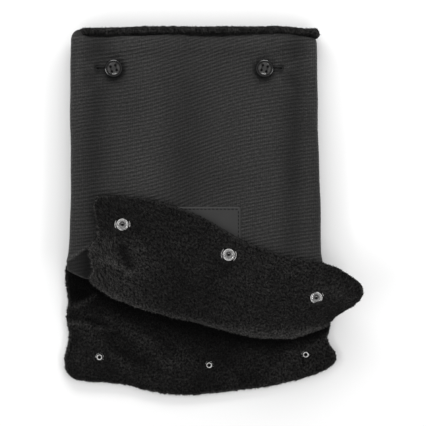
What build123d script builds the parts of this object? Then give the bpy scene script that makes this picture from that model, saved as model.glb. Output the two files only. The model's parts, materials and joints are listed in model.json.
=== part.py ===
from build123d import *
import os
from math import cos, radians, sin

# Hand muff for a stroller handlebar, in millimetres.
# It lies on its back panel: +Z is up, +Y points to the hand opening, +X is to the right.
# The origin is on the underside of the back panel, midway along the whole length.
# A flattened padded tube has a hand opening at its upper end.  Below two side slits it
# carries on as two flaps: the front flap is folded up and over, the back flap lies flat.
# Three snaps join the flaps round the handlebar.

# ---- Driving dimensions: layers of the fabric, from the outside in ----
SHELL = 1.0                       # woven outer fabric
PADDING = 2.5                     # wadding
FLEECE = 3.5                      # plush lining
STACK = SHELL + PADDING + FLEECE
PADDING_INSET = 4.0               # the wadding stops short of the sewn edges

# ---- Driving dimensions: the tube ----
TUBE_HEIGHT = 30.0                # lying flat, from the underside to the top
MID_Z = TUBE_HEIGHT / 2           # height of the side seams
MOUTH_Y = 180.0                   # where the outer fabric ends
SLIT_Y = -52.0                    # upper end of the two side slits
MOUTH_CENTRE_X = -3.4
MOUTH_HALF_WIDTH = 125.4
SLIT_CENTRE_X = -2.45
SLIT_HALF_WIDTH = 131.4
COLLAR = 8.5                      # fleece rolled past the end of the outer fabric
COLLAR_THICKNESS = 7.0
COLLAR_ROUNDING = 3.0
SEAM_THREAD_RADIUS = 0.5

# ---- Driving dimensions: the folded front flap ----
FOLD_ANGLE = 10.0                 # the fold runs down to the right
FOLD_Y = -99.0                    # where the fold crosses the middle
FLAP_Z = TUBE_HEIGHT + 1.7        # underside of the folded flap
# Turned over, the flap's fleece lies half a millimetre above the back flap's fleece.
FOLD_Z = (FLAP_Z + STACK + STACK + 0.5) / 2
# Outline along and across the fold: along, across, corner radius
FLAP_OUTLINE = [
    (-117, 1, 3), (-112, 52, 25), (-125, 88, 9), (-100, 101, 18), (-45, 100, 60), (30, 76, 60),
    (82, 65, 50), (125, 66, 30), (163, 54, 14), (168, 36, 12), (138, 1, 3),
]

# ---- Driving dimensions: the back flap ----
HINGE_GAP = 0.3
BACK_FLAP_OUTLINE = [
    (-133.5, SLIT_Y - HINGE_GAP, 1), (129.5, SLIT_Y - HINGE_GAP, 1), (135, -128, 10), (145.5, -153, 9),
    (129, -170, 20), (62, -186.5, 60), (-8, -189, 60), (-62, -180, 60), (-124, -179, 12),
    (-135.5, -163, 9), (-131, -128, 30),
]

# ---- Driving dimensions: snaps ----
# Stud places on the back flap.  The sockets mirror them across the fold.
STUDS = {"left": (-99.4, -152.2), "middle": (14.0, -160.5), "right": (113.9, -149.6)}
SOCKET_RADIUS = 8.8
SOCKET_HEIGHT = 5.0
SOCKET_MOUTH_RADIUS = 4.9
SOCKET_CAVITY_RADIUS = 6.1
SOCKET_FLANGE = 3.2
SNAP_BASE = 1.0
SPRING_WIRE_RADIUS = 0.35
SPRING_HALF_GAP = 4.25
STUD_FLANGE_RADIUS = 7.4
STUD_HEIGHT = 5.3
STUD_NECK_RADIUS = 3.2
STUD_HEAD_RADIUS = 3.7
STUD_TIP_RADIUS = 3.0
STUD_HOLLOW_RADIUS = 1.95
CAP_RADIUS = 8.0
CAP_THICKNESS = 1.4
CAP_SETBACK = 0.1                 # the cap sits just inside the fabric's surface
POST_RADIUS = 1.85
POST_BORE_RADIUS = 1.2
POST_FLARE_RADIUS = 3.2
POST_FLARE = 0.4
SNAP_SOCKET_POCKET = 9.2          # radius of the opening in the fleece round a socket
SNAP_STUD_POCKET = 8.2            # and round a stud

# ---- Driving dimensions: buttons ----
BUTTONS = {"left": (-84.3, 145.8, -1), "right": (71.1, 145.8, 1)}   # x, y, way out to the side
BUTTON_HOLE_TURN = {"left": 61.0, "right": 29.0}
BUTTON_RADIUS = 9.2
BUTTON_HEIGHT = 4.2
BUTTON_BOTTOM_Z = TUBE_HEIGHT + 1.6
BUTTON_DISH_Z = 2.4
BUTTON_DISH_RADIUS = 6.1
BUTTON_HOLE_RADIUS = 1.1
BUTTON_HOLE_PITCH_RADIUS = 3.7
THREAD_RADIUS = 0.45
THREAD_CLEARANCE = 0.65
SHANK_RADIUS = 1.2
BUTTONHOLE_LENGTH = 19.0
BUTTONHOLE_WIDTH = 2.8
BUTTONHOLE_BORDER = 1.6
BUTTONHOLE_STITCH = 0.4

# ---- Driving dimensions: label patch ----
PATCH_RIGHT_X = 46.6
PATCH_TOP_Y = 3.3
PATCH_WIDTH = 92.0
PATCH_HEIGHT = 46.0
PATCH_THICKNESS = 1.0
PATCH_CORNER = 3.0
STITCH_LENGTH = 2.6
STITCH_PITCH = 4.0
STITCH_WIDTH = 0.7
STITCH_HEIGHT = 0.3
STITCH_MARGIN = 2.6

FOLD_PLANE = Plane(
    origin=(0, FOLD_Y, 0),
    x_dir=(cos(radians(FOLD_ANGLE)), -sin(radians(FOLD_ANGLE)), 0),
    z_dir=(0, 0, 1),
)


def save(shape, node):
    """One sub-part is one file, named after the sub-part."""
    export_step(shape, f"parts/{node}.step")


def in_body_frame(along, across):
    """A point given along and across the fold, as x and y."""
    point = FOLD_PLANE.from_local_coords(Vector(along, across, 0))
    return point.X, point.Y


def mirrored_across_fold(x, y):
    """Where a point lies after the flap has been turned over about the fold."""
    local = FOLD_PLANE.to_local_coords(Vector(x, y, 0))
    return in_body_frame(local.X, -local.Y)


def rounded_outline(corners):
    """A closed face from corners that each have their own radius."""
    points = [(x, y) for x, y, _ in corners]
    radii = [radius for _, _, radius in corners]
    return make_face(FilletPolyline(*points, radius=radii, close=True))


def slab(face, bottom, top):
    """A flat layer of one thickness."""
    return extrude(Pos(0, 0, bottom) * face, top - bottom)


def turned(profile):
    """A solid of revolution about Z from points of radius and height."""
    points = [(radius, 0, height) for radius, height in profile]
    return revolve(make_face(Polyline(*points, close=True)), Axis.Z)


def drill(shape, x, y, radius, bottom, top):
    """Cuts a round hole straight through from bottom to top."""
    return shape - Pos(x, y, (bottom + top) / 2) * Cylinder(radius, top - bottom)


# ---- The tube ----

def tube_section(centre_x, half_width, y, outer, inner, side):
    """Half of the flattened ring that one layer makes across the tube.

    outer and inner are depths below the outer surface; side is 1 for the front half
    and -1 for the back half.
    """
    def corner(way, depth, angle):
        radius = MID_Z - depth
        x = centre_x + way * (half_width - MID_Z) + way * radius * cos(radians(angle))
        return x, y, MID_Z + side * radius * sin(radians(angle))

    def skin(depth):
        left_arc = ThreePointArc(corner(-1, depth, 0), corner(-1, depth, 45), corner(-1, depth, 90))
        top = Line(corner(-1, depth, 90), corner(1, depth, 90))
        right_arc = ThreePointArc(corner(1, depth, 90), corner(1, depth, 45), corner(1, depth, 0))
        return [left_arc, top, right_arc]

    left_seam = Line(corner(-1, outer, 0), corner(-1, inner, 0))
    right_seam = Line(corner(1, outer, 0), corner(1, inner, 0))
    return make_face(Wire(skin(outer) + [right_seam] + skin(inner) + [left_seam]))


def side_edge(way, outer, inner, side):
    """The quarter turn that one layer makes round one side edge, from the slit to the mouth."""
    def section(centre_x, half_width, y):
        axis_x = centre_x + way * (half_width - MID_Z)

        def corner(depth, angle):
            radius = MID_Z - depth
            x = axis_x + way * radius * cos(radians(angle))
            return x, y, MID_Z + side * radius * sin(radians(angle))

        outer_arc = ThreePointArc(corner(outer, 0), corner(outer, 45), corner(outer, 90))
        inner_arc = ThreePointArc(corner(inner, 0), corner(inner, 45), corner(inner, 90))
        seam = Line(corner(outer, 0), corner(inner, 0))
        end = Line(corner(outer, 90), corner(inner, 90))
        return make_face(Wire([seam, outer_arc, end, inner_arc]))

    at_slit = section(SLIT_CENTRE_X, SLIT_HALF_WIDTH, SLIT_Y)
    at_mouth = section(MOUTH_CENTRE_X, MOUTH_HALF_WIDTH, MOUTH_Y)
    return loft([at_slit, at_mouth], ruled=True)


def tube_layer(outer, inner, side):
    """One layer of the front or back half of the tube: a flat panel and its two side edges."""
    corners = []
    for way in (-1, 1):
        slit = (SLIT_CENTRE_X + way * (SLIT_HALF_WIDTH - MID_Z), SLIT_Y)
        mouth = (MOUTH_CENTRE_X + way * (MOUTH_HALF_WIDTH - MID_Z), MOUTH_Y)
        corners += [slit, mouth] if way < 0 else [mouth, slit]
    levels = sorted([MID_Z + side * (MID_Z - outer), MID_Z + side * (MID_Z - inner)])
    panel = slab(make_face(Polyline(*corners, close=True)), *levels)
    return panel + side_edge(-1, outer, inner, side) + side_edge(1, outer, inner, side)


def collar(side):
    """The fleece that rolls past the outer fabric round the hand opening."""
    rim = tube_section(MOUTH_CENTRE_X, MOUTH_HALF_WIDTH, MOUTH_Y, 0, COLLAR_THICKNESS, side)
    roll = extrude(rim, COLLAR, dir=(0, 1, 0))
    seam_width = COLLAR_THICKNESS + 1
    rim_edges = [edge for edge in roll.edges().group_by(Axis.Y)[-1] if edge.length > seam_width]
    return fillet(rim_edges, COLLAR_ROUNDING)


def fold_end(x):
    """Where the front panel reaches the fold, at a given x."""
    return x, FOLD_Y - x * sin(radians(FOLD_ANGLE)) / cos(radians(FOLD_ANGLE))


def front_tongue(outer, inner, inset):
    """The flat stretch of the front panel between the slits and the fold."""
    left = SLIT_CENTRE_X - SLIT_HALF_WIDTH + inset
    right = SLIT_CENTRE_X + SLIT_HALF_WIDTH - inset
    corners = [(left, SLIT_Y), (right, SLIT_Y), fold_end(right), fold_end(left)]
    face = make_face(Polyline(*corners, close=True))
    return slab(face, TUBE_HEIGHT - inner, TUBE_HEIGHT - outer)


def fold_roll(outer, inner, inset):
    """The quarter turn that one layer makes round the end of the front panel."""
    reach = TUBE_HEIGHT - FOLD_Z
    slant = cos(radians(FOLD_ANGLE))
    start = (SLIT_CENTRE_X - SLIT_HALF_WIDTH + inset) / slant
    end = (SLIT_CENTRE_X + SLIT_HALF_WIDTH - inset) / slant
    centre = FOLD_PLANE.from_local_coords(Vector((start + end) / 2, 0, FOLD_Z))
    across = Plane(origin=centre, x_dir=-FOLD_PLANE.y_dir, z_dir=-FOLD_PLANE.x_dir)
    at_axis = (Align.MIN, Align.MIN, Align.CENTER)
    roll = Cylinder(reach - outer, end - start, arc_size=90, align=at_axis)
    if reach > inner:
        roll = roll - Cylinder(reach - inner, end - start)
    return across * roll


def buttonhole(side, width, length_margin):
    """The outline of a buttonhole that runs from the shank out to the side."""
    x, y, way = BUTTONS[side]
    middle = x + way * (BUTTONHOLE_LENGTH / 2 - BUTTONHOLE_WIDTH / 2)
    return Pos(middle, y, 0) * SlotOverall(BUTTONHOLE_LENGTH + length_margin, width)


def cut_buttonholes(shape):
    for side in BUTTONS:
        shape = shape - slab(buttonhole(side, BUTTONHOLE_WIDTH, 0), MID_Z, TUBE_HEIGHT + 1)
    return shape


def seam_thread(way):
    """The lockstitch cord that closes one side seam, inside the wadding."""
    depth = SHELL + PADDING / 2
    start = Vector(SLIT_CENTRE_X + way * (SLIT_HALF_WIDTH - depth), SLIT_Y, MID_Z)
    end = Vector(MOUTH_CENTRE_X + way * (MOUTH_HALF_WIDTH - depth), MOUTH_Y, MID_Z)
    run = end - start
    section = Plane(origin=start, z_dir=run) * Circle(SEAM_THREAD_RADIUS)
    return extrude(section, run.length - SEAM_THREAD_RADIUS)


def make_tube():
    """Shell, wadding and lining of both halves, and the threads of the side seams."""
    threads = {"left": seam_thread(-1), "right": seam_thread(1)}
    depths = {
        "outer_shell": (0, SHELL),
        "padding": (SHELL, SHELL + PADDING),
        "fleece_lining": (SHELL + PADDING, STACK),
    }
    for layer, (outer, inner) in depths.items():
        inset = PADDING_INSET if layer == "padding" else 0
        front = tube_layer(outer, inner, 1) + front_tongue(outer, inner, inset)
        front = front + fold_roll(outer, inner, inset)
        back = tube_layer(outer, inner, -1)
        if layer == "fleece_lining":
            front = front + collar(1)
            back = back + collar(-1)
        if layer == "padding":
            for thread in threads.values():
                front = front - thread
                back = back - thread
        save(cut_buttonholes(front), f"front_{layer}")
        save(back, f"back_{layer}")
    for side, thread in threads.items():
        save(thread, f"side_seam_thread_{side}")


# ---- The flaps ----

def flap_layers(outline, to_world, bottom, holes, seat_pocket):
    """The three layers of a flap, with pockets for its snaps.

    bottom is the underside of the shell.  Each snap has a wide pocket for its cap through
    the shell, a narrow hole through the wadding, and a wide pocket through the fleece.
    """
    face = rounded_outline(outline)
    levels = [bottom, bottom + SHELL, bottom + SHELL + PADDING, bottom + STACK]
    shell = to_world * slab(face, levels[0], levels[1])
    wadding = to_world * slab(offset(face, amount=-PADDING_INSET), levels[1], levels[2])
    fleece = to_world * slab(face, levels[2], levels[3])
    cap_top = bottom + CAP_SETBACK + CAP_THICKNESS
    for x, y in holes:
        shell = drill(shell, x, y, CAP_RADIUS + 0.3, levels[0], levels[1])
        wadding = drill(wadding, x, y, CAP_RADIUS + 0.3, levels[1], cap_top)
        wadding = drill(wadding, x, y, POST_RADIUS + 0.2, cap_top, levels[2])
        fleece = drill(fleece, x, y, seat_pocket, levels[2], levels[3])
    return {"shell": shell, "padding": wadding, "fleece": fleece}


def cap_with_post(reach):
    """The outer half of a snap: a disc and a hollow post whose end is rolled outward.

    Its top face is the disc's outer face, at height 0, and the post points up.
    """
    disc_edge = 0.5
    return turned([
        (POST_BORE_RADIUS, 0.2), (CAP_RADIUS - disc_edge, 0), (CAP_RADIUS, disc_edge),
        (CAP_RADIUS, CAP_THICKNESS), (POST_RADIUS, CAP_THICKNESS), (POST_RADIUS, reach),
        (POST_FLARE_RADIUS, reach), (POST_FLARE_RADIUS, reach + POST_FLARE),
        (POST_BORE_RADIUS, reach + POST_FLARE),
    ])


def back_post(reach):
    """The backing disc and plain post of a stud."""
    disc_edge = 0.5
    return turned([
        (POST_BORE_RADIUS, 0.2), (CAP_RADIUS - disc_edge, 0), (CAP_RADIUS, disc_edge),
        (CAP_RADIUS, CAP_THICKNESS), (POST_RADIUS, CAP_THICKNESS), (POST_RADIUS, reach),
        (POST_BORE_RADIUS, reach),
    ])


def snap_socket():
    """A ring with a raised lip round its mouth, seated on the wadding at height 0."""
    lip = SOCKET_CAVITY_RADIUS + 0.8
    ring = turned([
        (POST_RADIUS + 0.05, 0), (SOCKET_RADIUS - 0.7, 0), (SOCKET_RADIUS, 0.9),
        (SOCKET_RADIUS, SOCKET_FLANGE - 0.7), (SOCKET_RADIUS - 0.7, SOCKET_FLANGE),
        (lip + 0.7, SOCKET_FLANGE - 0.5), (lip, SOCKET_FLANGE),
        (lip, SOCKET_HEIGHT - 0.8), (lip - 0.8, SOCKET_HEIGHT),
        (SOCKET_MOUTH_RADIUS + 0.4, SOCKET_HEIGHT), (SOCKET_MOUTH_RADIUS, SOCKET_HEIGHT - 0.4),
        (SOCKET_MOUTH_RADIUS, SOCKET_HEIGHT - 0.9), (SOCKET_CAVITY_RADIUS, SOCKET_HEIGHT - 1.1),
        (SOCKET_CAVITY_RADIUS, SNAP_BASE), (POST_RADIUS + 0.05, SNAP_BASE),
    ])
    return ring


def snap_spring():
    """The wire spring inside a socket: two arms across the mouth, joined by a half turn."""
    height = SOCKET_HEIGHT - 1.1 - SPRING_WIRE_RADIUS - 0.1
    reach = SOCKET_CAVITY_RADIUS - SPRING_WIRE_RADIUS - 0.1
    turn_y = reach - SPRING_HALF_GAP
    arm_end = (reach ** 2 - SPRING_HALF_GAP ** 2) ** 0.5 - 0.1
    left_arm = Line((-SPRING_HALF_GAP, -arm_end), (-SPRING_HALF_GAP, turn_y))
    half_turn = ThreePointArc((-SPRING_HALF_GAP, turn_y), (0, reach), (SPRING_HALF_GAP, turn_y))
    right_arm = Line((SPRING_HALF_GAP, turn_y), (SPRING_HALF_GAP, -arm_end))
    start = Plane(origin=left_arm @ 0, z_dir=left_arm % 0)
    wire = sweep(start * Circle(SPRING_WIRE_RADIUS), Wire([left_arm, half_turn, right_arm]))
    return Pos(0, 0, height) * wire


def snap_stud():
    """A flange with a hollow nub, seated on the wadding at height 0."""
    return turned([
        (POST_RADIUS + 0.05, 0), (STUD_FLANGE_RADIUS, 0), (STUD_FLANGE_RADIUS, 0.6),
        (STUD_FLANGE_RADIUS - 0.5, SNAP_BASE), (STUD_NECK_RADIUS + 0.8, SNAP_BASE),
        (STUD_NECK_RADIUS, SNAP_BASE + 0.6), (STUD_NECK_RADIUS, SNAP_BASE + 1.2),
        (STUD_HEAD_RADIUS, SNAP_BASE + 1.8), (STUD_HEAD_RADIUS, SNAP_BASE + 2.5),
        (STUD_TIP_RADIUS + 0.2, STUD_HEIGHT - 0.5), (STUD_TIP_RADIUS - 0.3, STUD_HEIGHT),
        (STUD_HOLLOW_RADIUS + 0.2, STUD_HEIGHT), (STUD_HOLLOW_RADIUS, STUD_HEIGHT - 0.3),
        (STUD_HOLLOW_RADIUS, SNAP_BASE),
        (POST_RADIUS + 0.05, SNAP_BASE - 0.1),
    ])


def make_front_flap():
    """The folded flap with its three sockets, springs and caps."""
    sockets = {side: mirrored_across_fold(*place) for side, place in STUDS.items()}
    layers = flap_layers(FLAP_OUTLINE, FOLD_PLANE.location, FLAP_Z, sockets.values(),
                         SNAP_SOCKET_POCKET)
    for layer, shape in layers.items():
        save(shape, f"front_flap_{layer}")
    seat = FLAP_Z + SHELL + PADDING
    turn = Rot(0, 0, -FOLD_ANGLE)
    for side, (x, y) in sockets.items():
        save(Pos(x, y, seat) * snap_socket(), f"snap_socket_{side}")
        save(Pos(x, y, seat) * turn * snap_spring(), f"snap_spring_{side}")
        cap_z = FLAP_Z + CAP_SETBACK
        reach = seat + SNAP_BASE - cap_z
        save(Pos(x, y, cap_z) * cap_with_post(reach), f"snap_cap_{side}")


def make_back_flap():
    """The flat flap with its three studs and their backing posts."""
    layers = flap_layers(BACK_FLAP_OUTLINE, Location(), 0, STUDS.values(), SNAP_STUD_POCKET)
    for layer, shape in layers.items():
        save(shape, f"back_flap_{layer}")
    seat = SHELL + PADDING
    for side, (x, y) in STUDS.items():
        save(Pos(x, y, seat) * snap_stud(), f"snap_stud_{side}")
        reach = seat + SNAP_BASE + 1.5 - CAP_SETBACK
        save(Pos(x, y, CAP_SETBACK) * back_post(reach), f"snap_post_{side}")


# ---- Buttons and their threads ----

def hole_places(side):
    """The four thread holes of a button, about its centre."""
    for quarter in range(4):
        angle = radians(BUTTON_HOLE_TURN[side] + 90 * quarter)
        yield BUTTON_HOLE_PITCH_RADIUS * cos(angle), BUTTON_HOLE_PITCH_RADIUS * sin(angle)


def button(side):
    """A dished four-hole button with a rounded rim, its underside at height 0."""
    rim_inner = BUTTON_DISH_RADIUS + 0.6
    body = turned([
        (0, 0), (5.5, 0), (8.2, 0.9), (BUTTON_RADIUS, 2.1), (BUTTON_RADIUS, 3.1),
        (BUTTON_RADIUS - 0.5, 3.9), (BUTTON_RADIUS - 1.2, BUTTON_HEIGHT),
        (rim_inner + 0.7, BUTTON_HEIGHT - 0.1), (rim_inner, BUTTON_HEIGHT - 0.8),
        (BUTTON_DISH_RADIUS, BUTTON_DISH_Z + 0.5), (BUTTON_DISH_RADIUS - 0.8, BUTTON_DISH_Z),
        (0, BUTTON_DISH_Z - 0.2),
    ])
    for x, y in hole_places(side):
        body = drill(body, x, y, BUTTON_HOLE_RADIUS, -1, BUTTON_HEIGHT)
    return body


def button_thread(side):
    """Four strands through the holes, joined by two stitches on top, on a shank.

    The shank runs through the buttonhole and the pocket down to the back lining.
    """
    stitch_bottom = BUTTON_BOTTOM_Z + BUTTON_DISH_Z + THREAD_CLEARANCE
    stitch_middle = stitch_bottom + THREAD_RADIUS
    knot_top = BUTTON_BOTTOM_Z - THREAD_CLEARANCE
    knot_bottom = TUBE_HEIGHT + BUTTONHOLE_STITCH + 0.05
    shank_middle = (STACK + knot_bottom) / 2
    knot_middle = (knot_top + knot_bottom) / 2
    shank = Cylinder(SHANK_RADIUS, knot_bottom - STACK)
    knot = Cylinder(BUTTON_HOLE_PITCH_RADIUS + 2 * THREAD_RADIUS, knot_top - knot_bottom)
    thread = Pos(0, 0, shank_middle) * shank + Pos(0, 0, knot_middle) * knot
    for x, y in hole_places(side):
        strand = Cylinder(THREAD_RADIUS, stitch_middle - knot_middle)
        thread = thread + Pos(x, y, (stitch_middle + knot_middle) / 2) * strand
    hole_spacing = BUTTON_HOLE_PITCH_RADIUS * 2 ** 0.5
    stitch = Box(hole_spacing + 3 * THREAD_RADIUS, 2.5 * THREAD_RADIUS, 2 * THREAD_RADIUS)
    turn = Rot(0, 0, BUTTON_HOLE_TURN[side] + 45)
    for way in (-1, 1):
        thread = thread + Pos(0, 0, stitch_middle) * turn * Pos(0, way * hole_spacing / 2, 0) * stitch
    return thread


def make_buttons():
    """Buttons, threads and the stitched borders of the buttonholes."""
    for side, (x, y, _) in BUTTONS.items():
        save(Pos(x, y, BUTTON_BOTTOM_Z) * button(side), f"button_{side}")
        save(Pos(x, y, 0) * button_thread(side), f"button_thread_{side}")
        border = buttonhole(side, BUTTONHOLE_WIDTH + 2 * BUTTONHOLE_BORDER, 2 * BUTTONHOLE_BORDER)
        border = border - buttonhole(side, BUTTONHOLE_WIDTH, 0)
        stitching = slab(border, TUBE_HEIGHT, TUBE_HEIGHT + BUTTONHOLE_STITCH)
        save(stitching, f"buttonhole_stitching_{side}")


# ---- Label patch ----

def stitch_row(length, place):
    """Evenly spaced stitches along one edge of the patch."""
    count = int(length // STITCH_PITCH)
    stitch = slab(SlotOverall(STITCH_LENGTH, STITCH_WIDTH), 0, STITCH_HEIGHT)
    for index in range(count):
        offset_along = (index - (count - 1) / 2) * STITCH_PITCH
        yield place * Pos(offset_along, 0, 0) * stitch


def make_patch():
    """A blank patch with a row of stitches round its edge."""
    centre_x = PATCH_RIGHT_X - PATCH_WIDTH / 2
    centre_y = PATCH_TOP_Y - PATCH_HEIGHT / 2
    patch = slab(RectangleRounded(PATCH_WIDTH, PATCH_HEIGHT, PATCH_CORNER), 0, PATCH_THICKNESS)
    save(Pos(centre_x, centre_y, TUBE_HEIGHT) * patch, "label_patch")
    half_width = PATCH_WIDTH / 2 - STITCH_MARGIN
    half_height = PATCH_HEIGHT / 2 - STITCH_MARGIN
    centre = Pos(centre_x, centre_y, TUBE_HEIGHT + PATCH_THICKNESS)
    stitches = []
    for way in (-1, 1):
        stitches += stitch_row(2 * half_width, centre * Pos(0, way * half_height, 0))
        stitches += stitch_row(2 * half_height, centre * Pos(way * half_width, 0, 0) * Rot(0, 0, 90))
    save(Compound(children=stitches), "patch_stitching")


os.makedirs("parts", exist_ok=True)
make_tube()
make_front_flap()
make_back_flap()
make_buttons()
make_patch()
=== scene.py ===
import json
import math

import bpy
import numpy as np
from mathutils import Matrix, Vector


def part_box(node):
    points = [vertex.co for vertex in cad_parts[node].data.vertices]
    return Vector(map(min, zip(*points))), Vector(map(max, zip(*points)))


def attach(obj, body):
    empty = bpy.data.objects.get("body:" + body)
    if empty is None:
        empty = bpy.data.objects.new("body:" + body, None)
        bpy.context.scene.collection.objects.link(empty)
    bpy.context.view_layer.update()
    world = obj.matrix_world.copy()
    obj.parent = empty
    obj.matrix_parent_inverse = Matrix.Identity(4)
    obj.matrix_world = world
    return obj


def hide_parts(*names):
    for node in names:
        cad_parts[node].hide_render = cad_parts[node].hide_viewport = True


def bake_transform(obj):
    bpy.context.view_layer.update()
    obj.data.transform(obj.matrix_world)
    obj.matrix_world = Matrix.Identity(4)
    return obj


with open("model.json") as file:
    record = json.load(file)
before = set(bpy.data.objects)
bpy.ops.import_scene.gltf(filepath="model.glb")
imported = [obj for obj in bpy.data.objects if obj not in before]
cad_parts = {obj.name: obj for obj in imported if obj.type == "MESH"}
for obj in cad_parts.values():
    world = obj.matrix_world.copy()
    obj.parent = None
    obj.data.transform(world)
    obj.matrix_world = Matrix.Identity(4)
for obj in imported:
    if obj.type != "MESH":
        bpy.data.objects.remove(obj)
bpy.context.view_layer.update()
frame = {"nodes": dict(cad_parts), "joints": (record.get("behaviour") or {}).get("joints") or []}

MM = 0.001

# The whole script works in millimetres, in the frame of the CAD model, and scales the
# finished meshes to metres.


# ---------------------------------------------------------------------------
# Places read from the frame
# ---------------------------------------------------------------------------

def box_mm(node):
    low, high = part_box(node)
    return np.array(low) / MM, np.array(high) / MM


def centre_mm(node):
    low, high = box_mm(node)
    return (low + high) / 2


SIDES = ("left", "middle", "right")
SHELL_LOW, SHELL_HIGH = box_mm("back_outer_shell")
SLIT_Y = SHELL_LOW[1]
MOUTH_Y = SHELL_HIGH[1]
SEAM_Z = SHELL_HIGH[2]                                   # side seams, halfway up the tube
TUBE_TOP = 2 * SEAM_Z
COLLAR_Y = box_mm("back_fleece_lining")[1][1]
STACK = box_mm("back_flap_fleece")[1][2]                 # shell, wadding and fleece
FLAP_BOTTOM = box_mm("front_flap_shell")[0][2]
FOLD = next(joint for joint in frame["joints"] if joint["name"] == "front_flap_fold")
FOLD_ORIGIN = np.array(FOLD["pos_m"]) / MM
FOLD_ALONG = np.array(FOLD["axis"][:2])
FOLD_ACROSS = np.array([-FOLD_ALONG[1], FOLD_ALONG[0]])
SOCKETS = {side: centre_mm(f"snap_socket_{side}") for side in SIDES}
STUDS = {side: centre_mm(f"snap_stud_{side}") for side in SIDES}
OUTWARD = {"left": -1, "right": 1}                       # away from the panel's middle, along X
BUTTONS = {side: centre_mm(f"button_{side}") for side in OUTWARD}
PATCH_LOW, PATCH_HIGH = box_mm("label_patch")
SOCKET_SEAT, SOCKET_TOP = box_mm("snap_socket_left")[0][2], box_mm("snap_socket_left")[1][2]
STUD_SEAT = box_mm("snap_stud_left")[0][2]

BUTTON_HOLE_TURN = {"left": 61.0, "right": 29.0}
BUTTON_HOLE_PITCH = 3.7


def to_fold(x, y):
    """Distance along and across the fold of a point in plan."""
    relative_x = x - FOLD_ORIGIN[0]
    relative_y = y - FOLD_ORIGIN[1]
    along = relative_x * FOLD_ALONG[0] + relative_y * FOLD_ALONG[1]
    across = relative_x * FOLD_ACROSS[0] + relative_y * FOLD_ACROSS[1]
    return along, across


def from_fold(along, across):
    x = FOLD_ORIGIN[0] + along * FOLD_ALONG[0] + across * FOLD_ACROSS[0]
    y = FOLD_ORIGIN[1] + along * FOLD_ALONG[1] + across * FOLD_ACROSS[1]
    return x, y


# ---------------------------------------------------------------------------
# Small mathematical tools
# ---------------------------------------------------------------------------

def smooth(value, start, end):
    """0 before start, 1 after end, with no corner between."""
    t = np.clip((np.asarray(value, float) - start) / (end - start), 0, 1)
    return t * t * (3 - 2 * t)


def mix(a, b, share):
    return a + (b - a) * share


def unit(vectors):
    """The vectors' directions, each of length 1."""
    return vectors / np.maximum(np.linalg.norm(vectors, axis=-1, keepdims=True), 1e-9)


def turned(dx, dy, degrees):
    """An offset in plan, in axes turned by an angle."""
    c, s = math.cos(math.radians(degrees)), math.sin(math.radians(degrees))
    return dx * c + dy * s, -dx * s + dy * c


def spline(points):
    """A smooth curve through the points, as a function of a share of its length."""
    points = np.array(points, float)
    steps = np.linalg.norm(np.diff(points, axis=0), axis=1)
    knots = np.concatenate([[0], np.cumsum(steps)]) / steps.sum()
    slopes = np.gradient(points, knots, axis=0)

    def at(t):
        t = np.clip(np.asarray(t, float), 0, 1)
        index = np.clip(np.searchsorted(knots, t, side="right") - 1, 0, len(knots) - 2)
        span = (knots[index + 1] - knots[index])[..., None]
        local = ((t - knots[index]) / (knots[index + 1] - knots[index]))[..., None]
        square, cube = local ** 2, local ** 3
        return (
            points[index] * (2 * cube - 3 * square + 1)
            + slopes[index] * span * (cube - 2 * square + local)
            + points[index + 1] * (3 * square - 2 * cube)
            + slopes[index + 1] * span * (cube - square)
        )
    return at


def profile(pairs):
    """A smooth function through (position, value) pairs."""
    pairs = np.array(pairs, float)
    curve = spline(pairs)
    fine = curve(np.linspace(0, 1, 400))
    order = np.argsort(fine[:, 0])
    return lambda where: np.interp(where, fine[order, 0], fine[order, 1])


def lattice_noise(x, y, cell, seed):
    """Smooth noise from -1 to 1 whose features are about one cell across.

    Each use has a seed of its own, so that no two of them look alike.
    """
    table = np.random.RandomState(seed).uniform(-1, 1, (256, 256))
    u = np.asarray(x, float) / cell + 91.7
    v = np.asarray(y, float) / cell + 47.3
    column, row = np.floor(u).astype(int), np.floor(v).astype(int)
    u_share, v_share = u - column, v - row
    u_share = u_share * u_share * (3 - 2 * u_share)
    v_share = v_share * v_share * (3 - 2 * v_share)
    low = mix(table[column % 256, row % 256], table[(column + 1) % 256, row % 256], u_share)
    high = mix(
        table[column % 256, (row + 1) % 256], table[(column + 1) % 256, (row + 1) % 256], u_share
    )
    return mix(low, high, v_share)


def bump_at(x, y, centre, radius_x, radius_y=None, turn=0.0):
    """A smooth mound of height 1 with an elliptical foot, turned by an angle in degrees."""
    u, v = turned(x - centre[0], y - centre[1], turn)
    return np.exp(-2 * ((u / radius_x) ** 2 + (v / (radius_y or radius_x)) ** 2))


# ---------------------------------------------------------------------------
# Meshes
# ---------------------------------------------------------------------------

def add_object(name, data):
    """A new object in the scene."""
    item = bpy.data.objects.new(name, data)
    bpy.context.scene.collection.objects.link(item)
    return item


def new_piece(name, verts_mm, faces, material, flat_place=None, shade=None):
    """A mesh piece from points in millimetres.

    flat_place is where each point lies on the uncut cloth, and shade is light painted into
    its colour: painted shade where light doesn't reach, painted highlights where it catches light.
    """
    mesh = bpy.data.meshes.new(name)
    faces = faces.tolist() if isinstance(faces, np.ndarray) else faces
    mesh.from_pydata((np.asarray(verts_mm) * MM).tolist(), [], faces)
    mesh.update()
    count = len(verts_mm)
    flat = np.zeros((count, 3), np.float32)
    flat[:, :2] = np.asarray(verts_mm)[:, :2] if flat_place is None else flat_place
    mesh.attributes.new("cloth", "FLOAT_VECTOR", "POINT").data.foreach_set("vector", flat.ravel())
    tone = np.ones(count, np.float32) if shade is None else np.asarray(shade, np.float32)
    mesh.attributes.new("shade", "FLOAT", "POINT").data.foreach_set("value", tone)
    mesh.polygons.foreach_set("use_smooth", [True] * len(mesh.polygons))
    mesh.materials.append(material)
    piece = add_object(name, mesh)
    return piece


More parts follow.
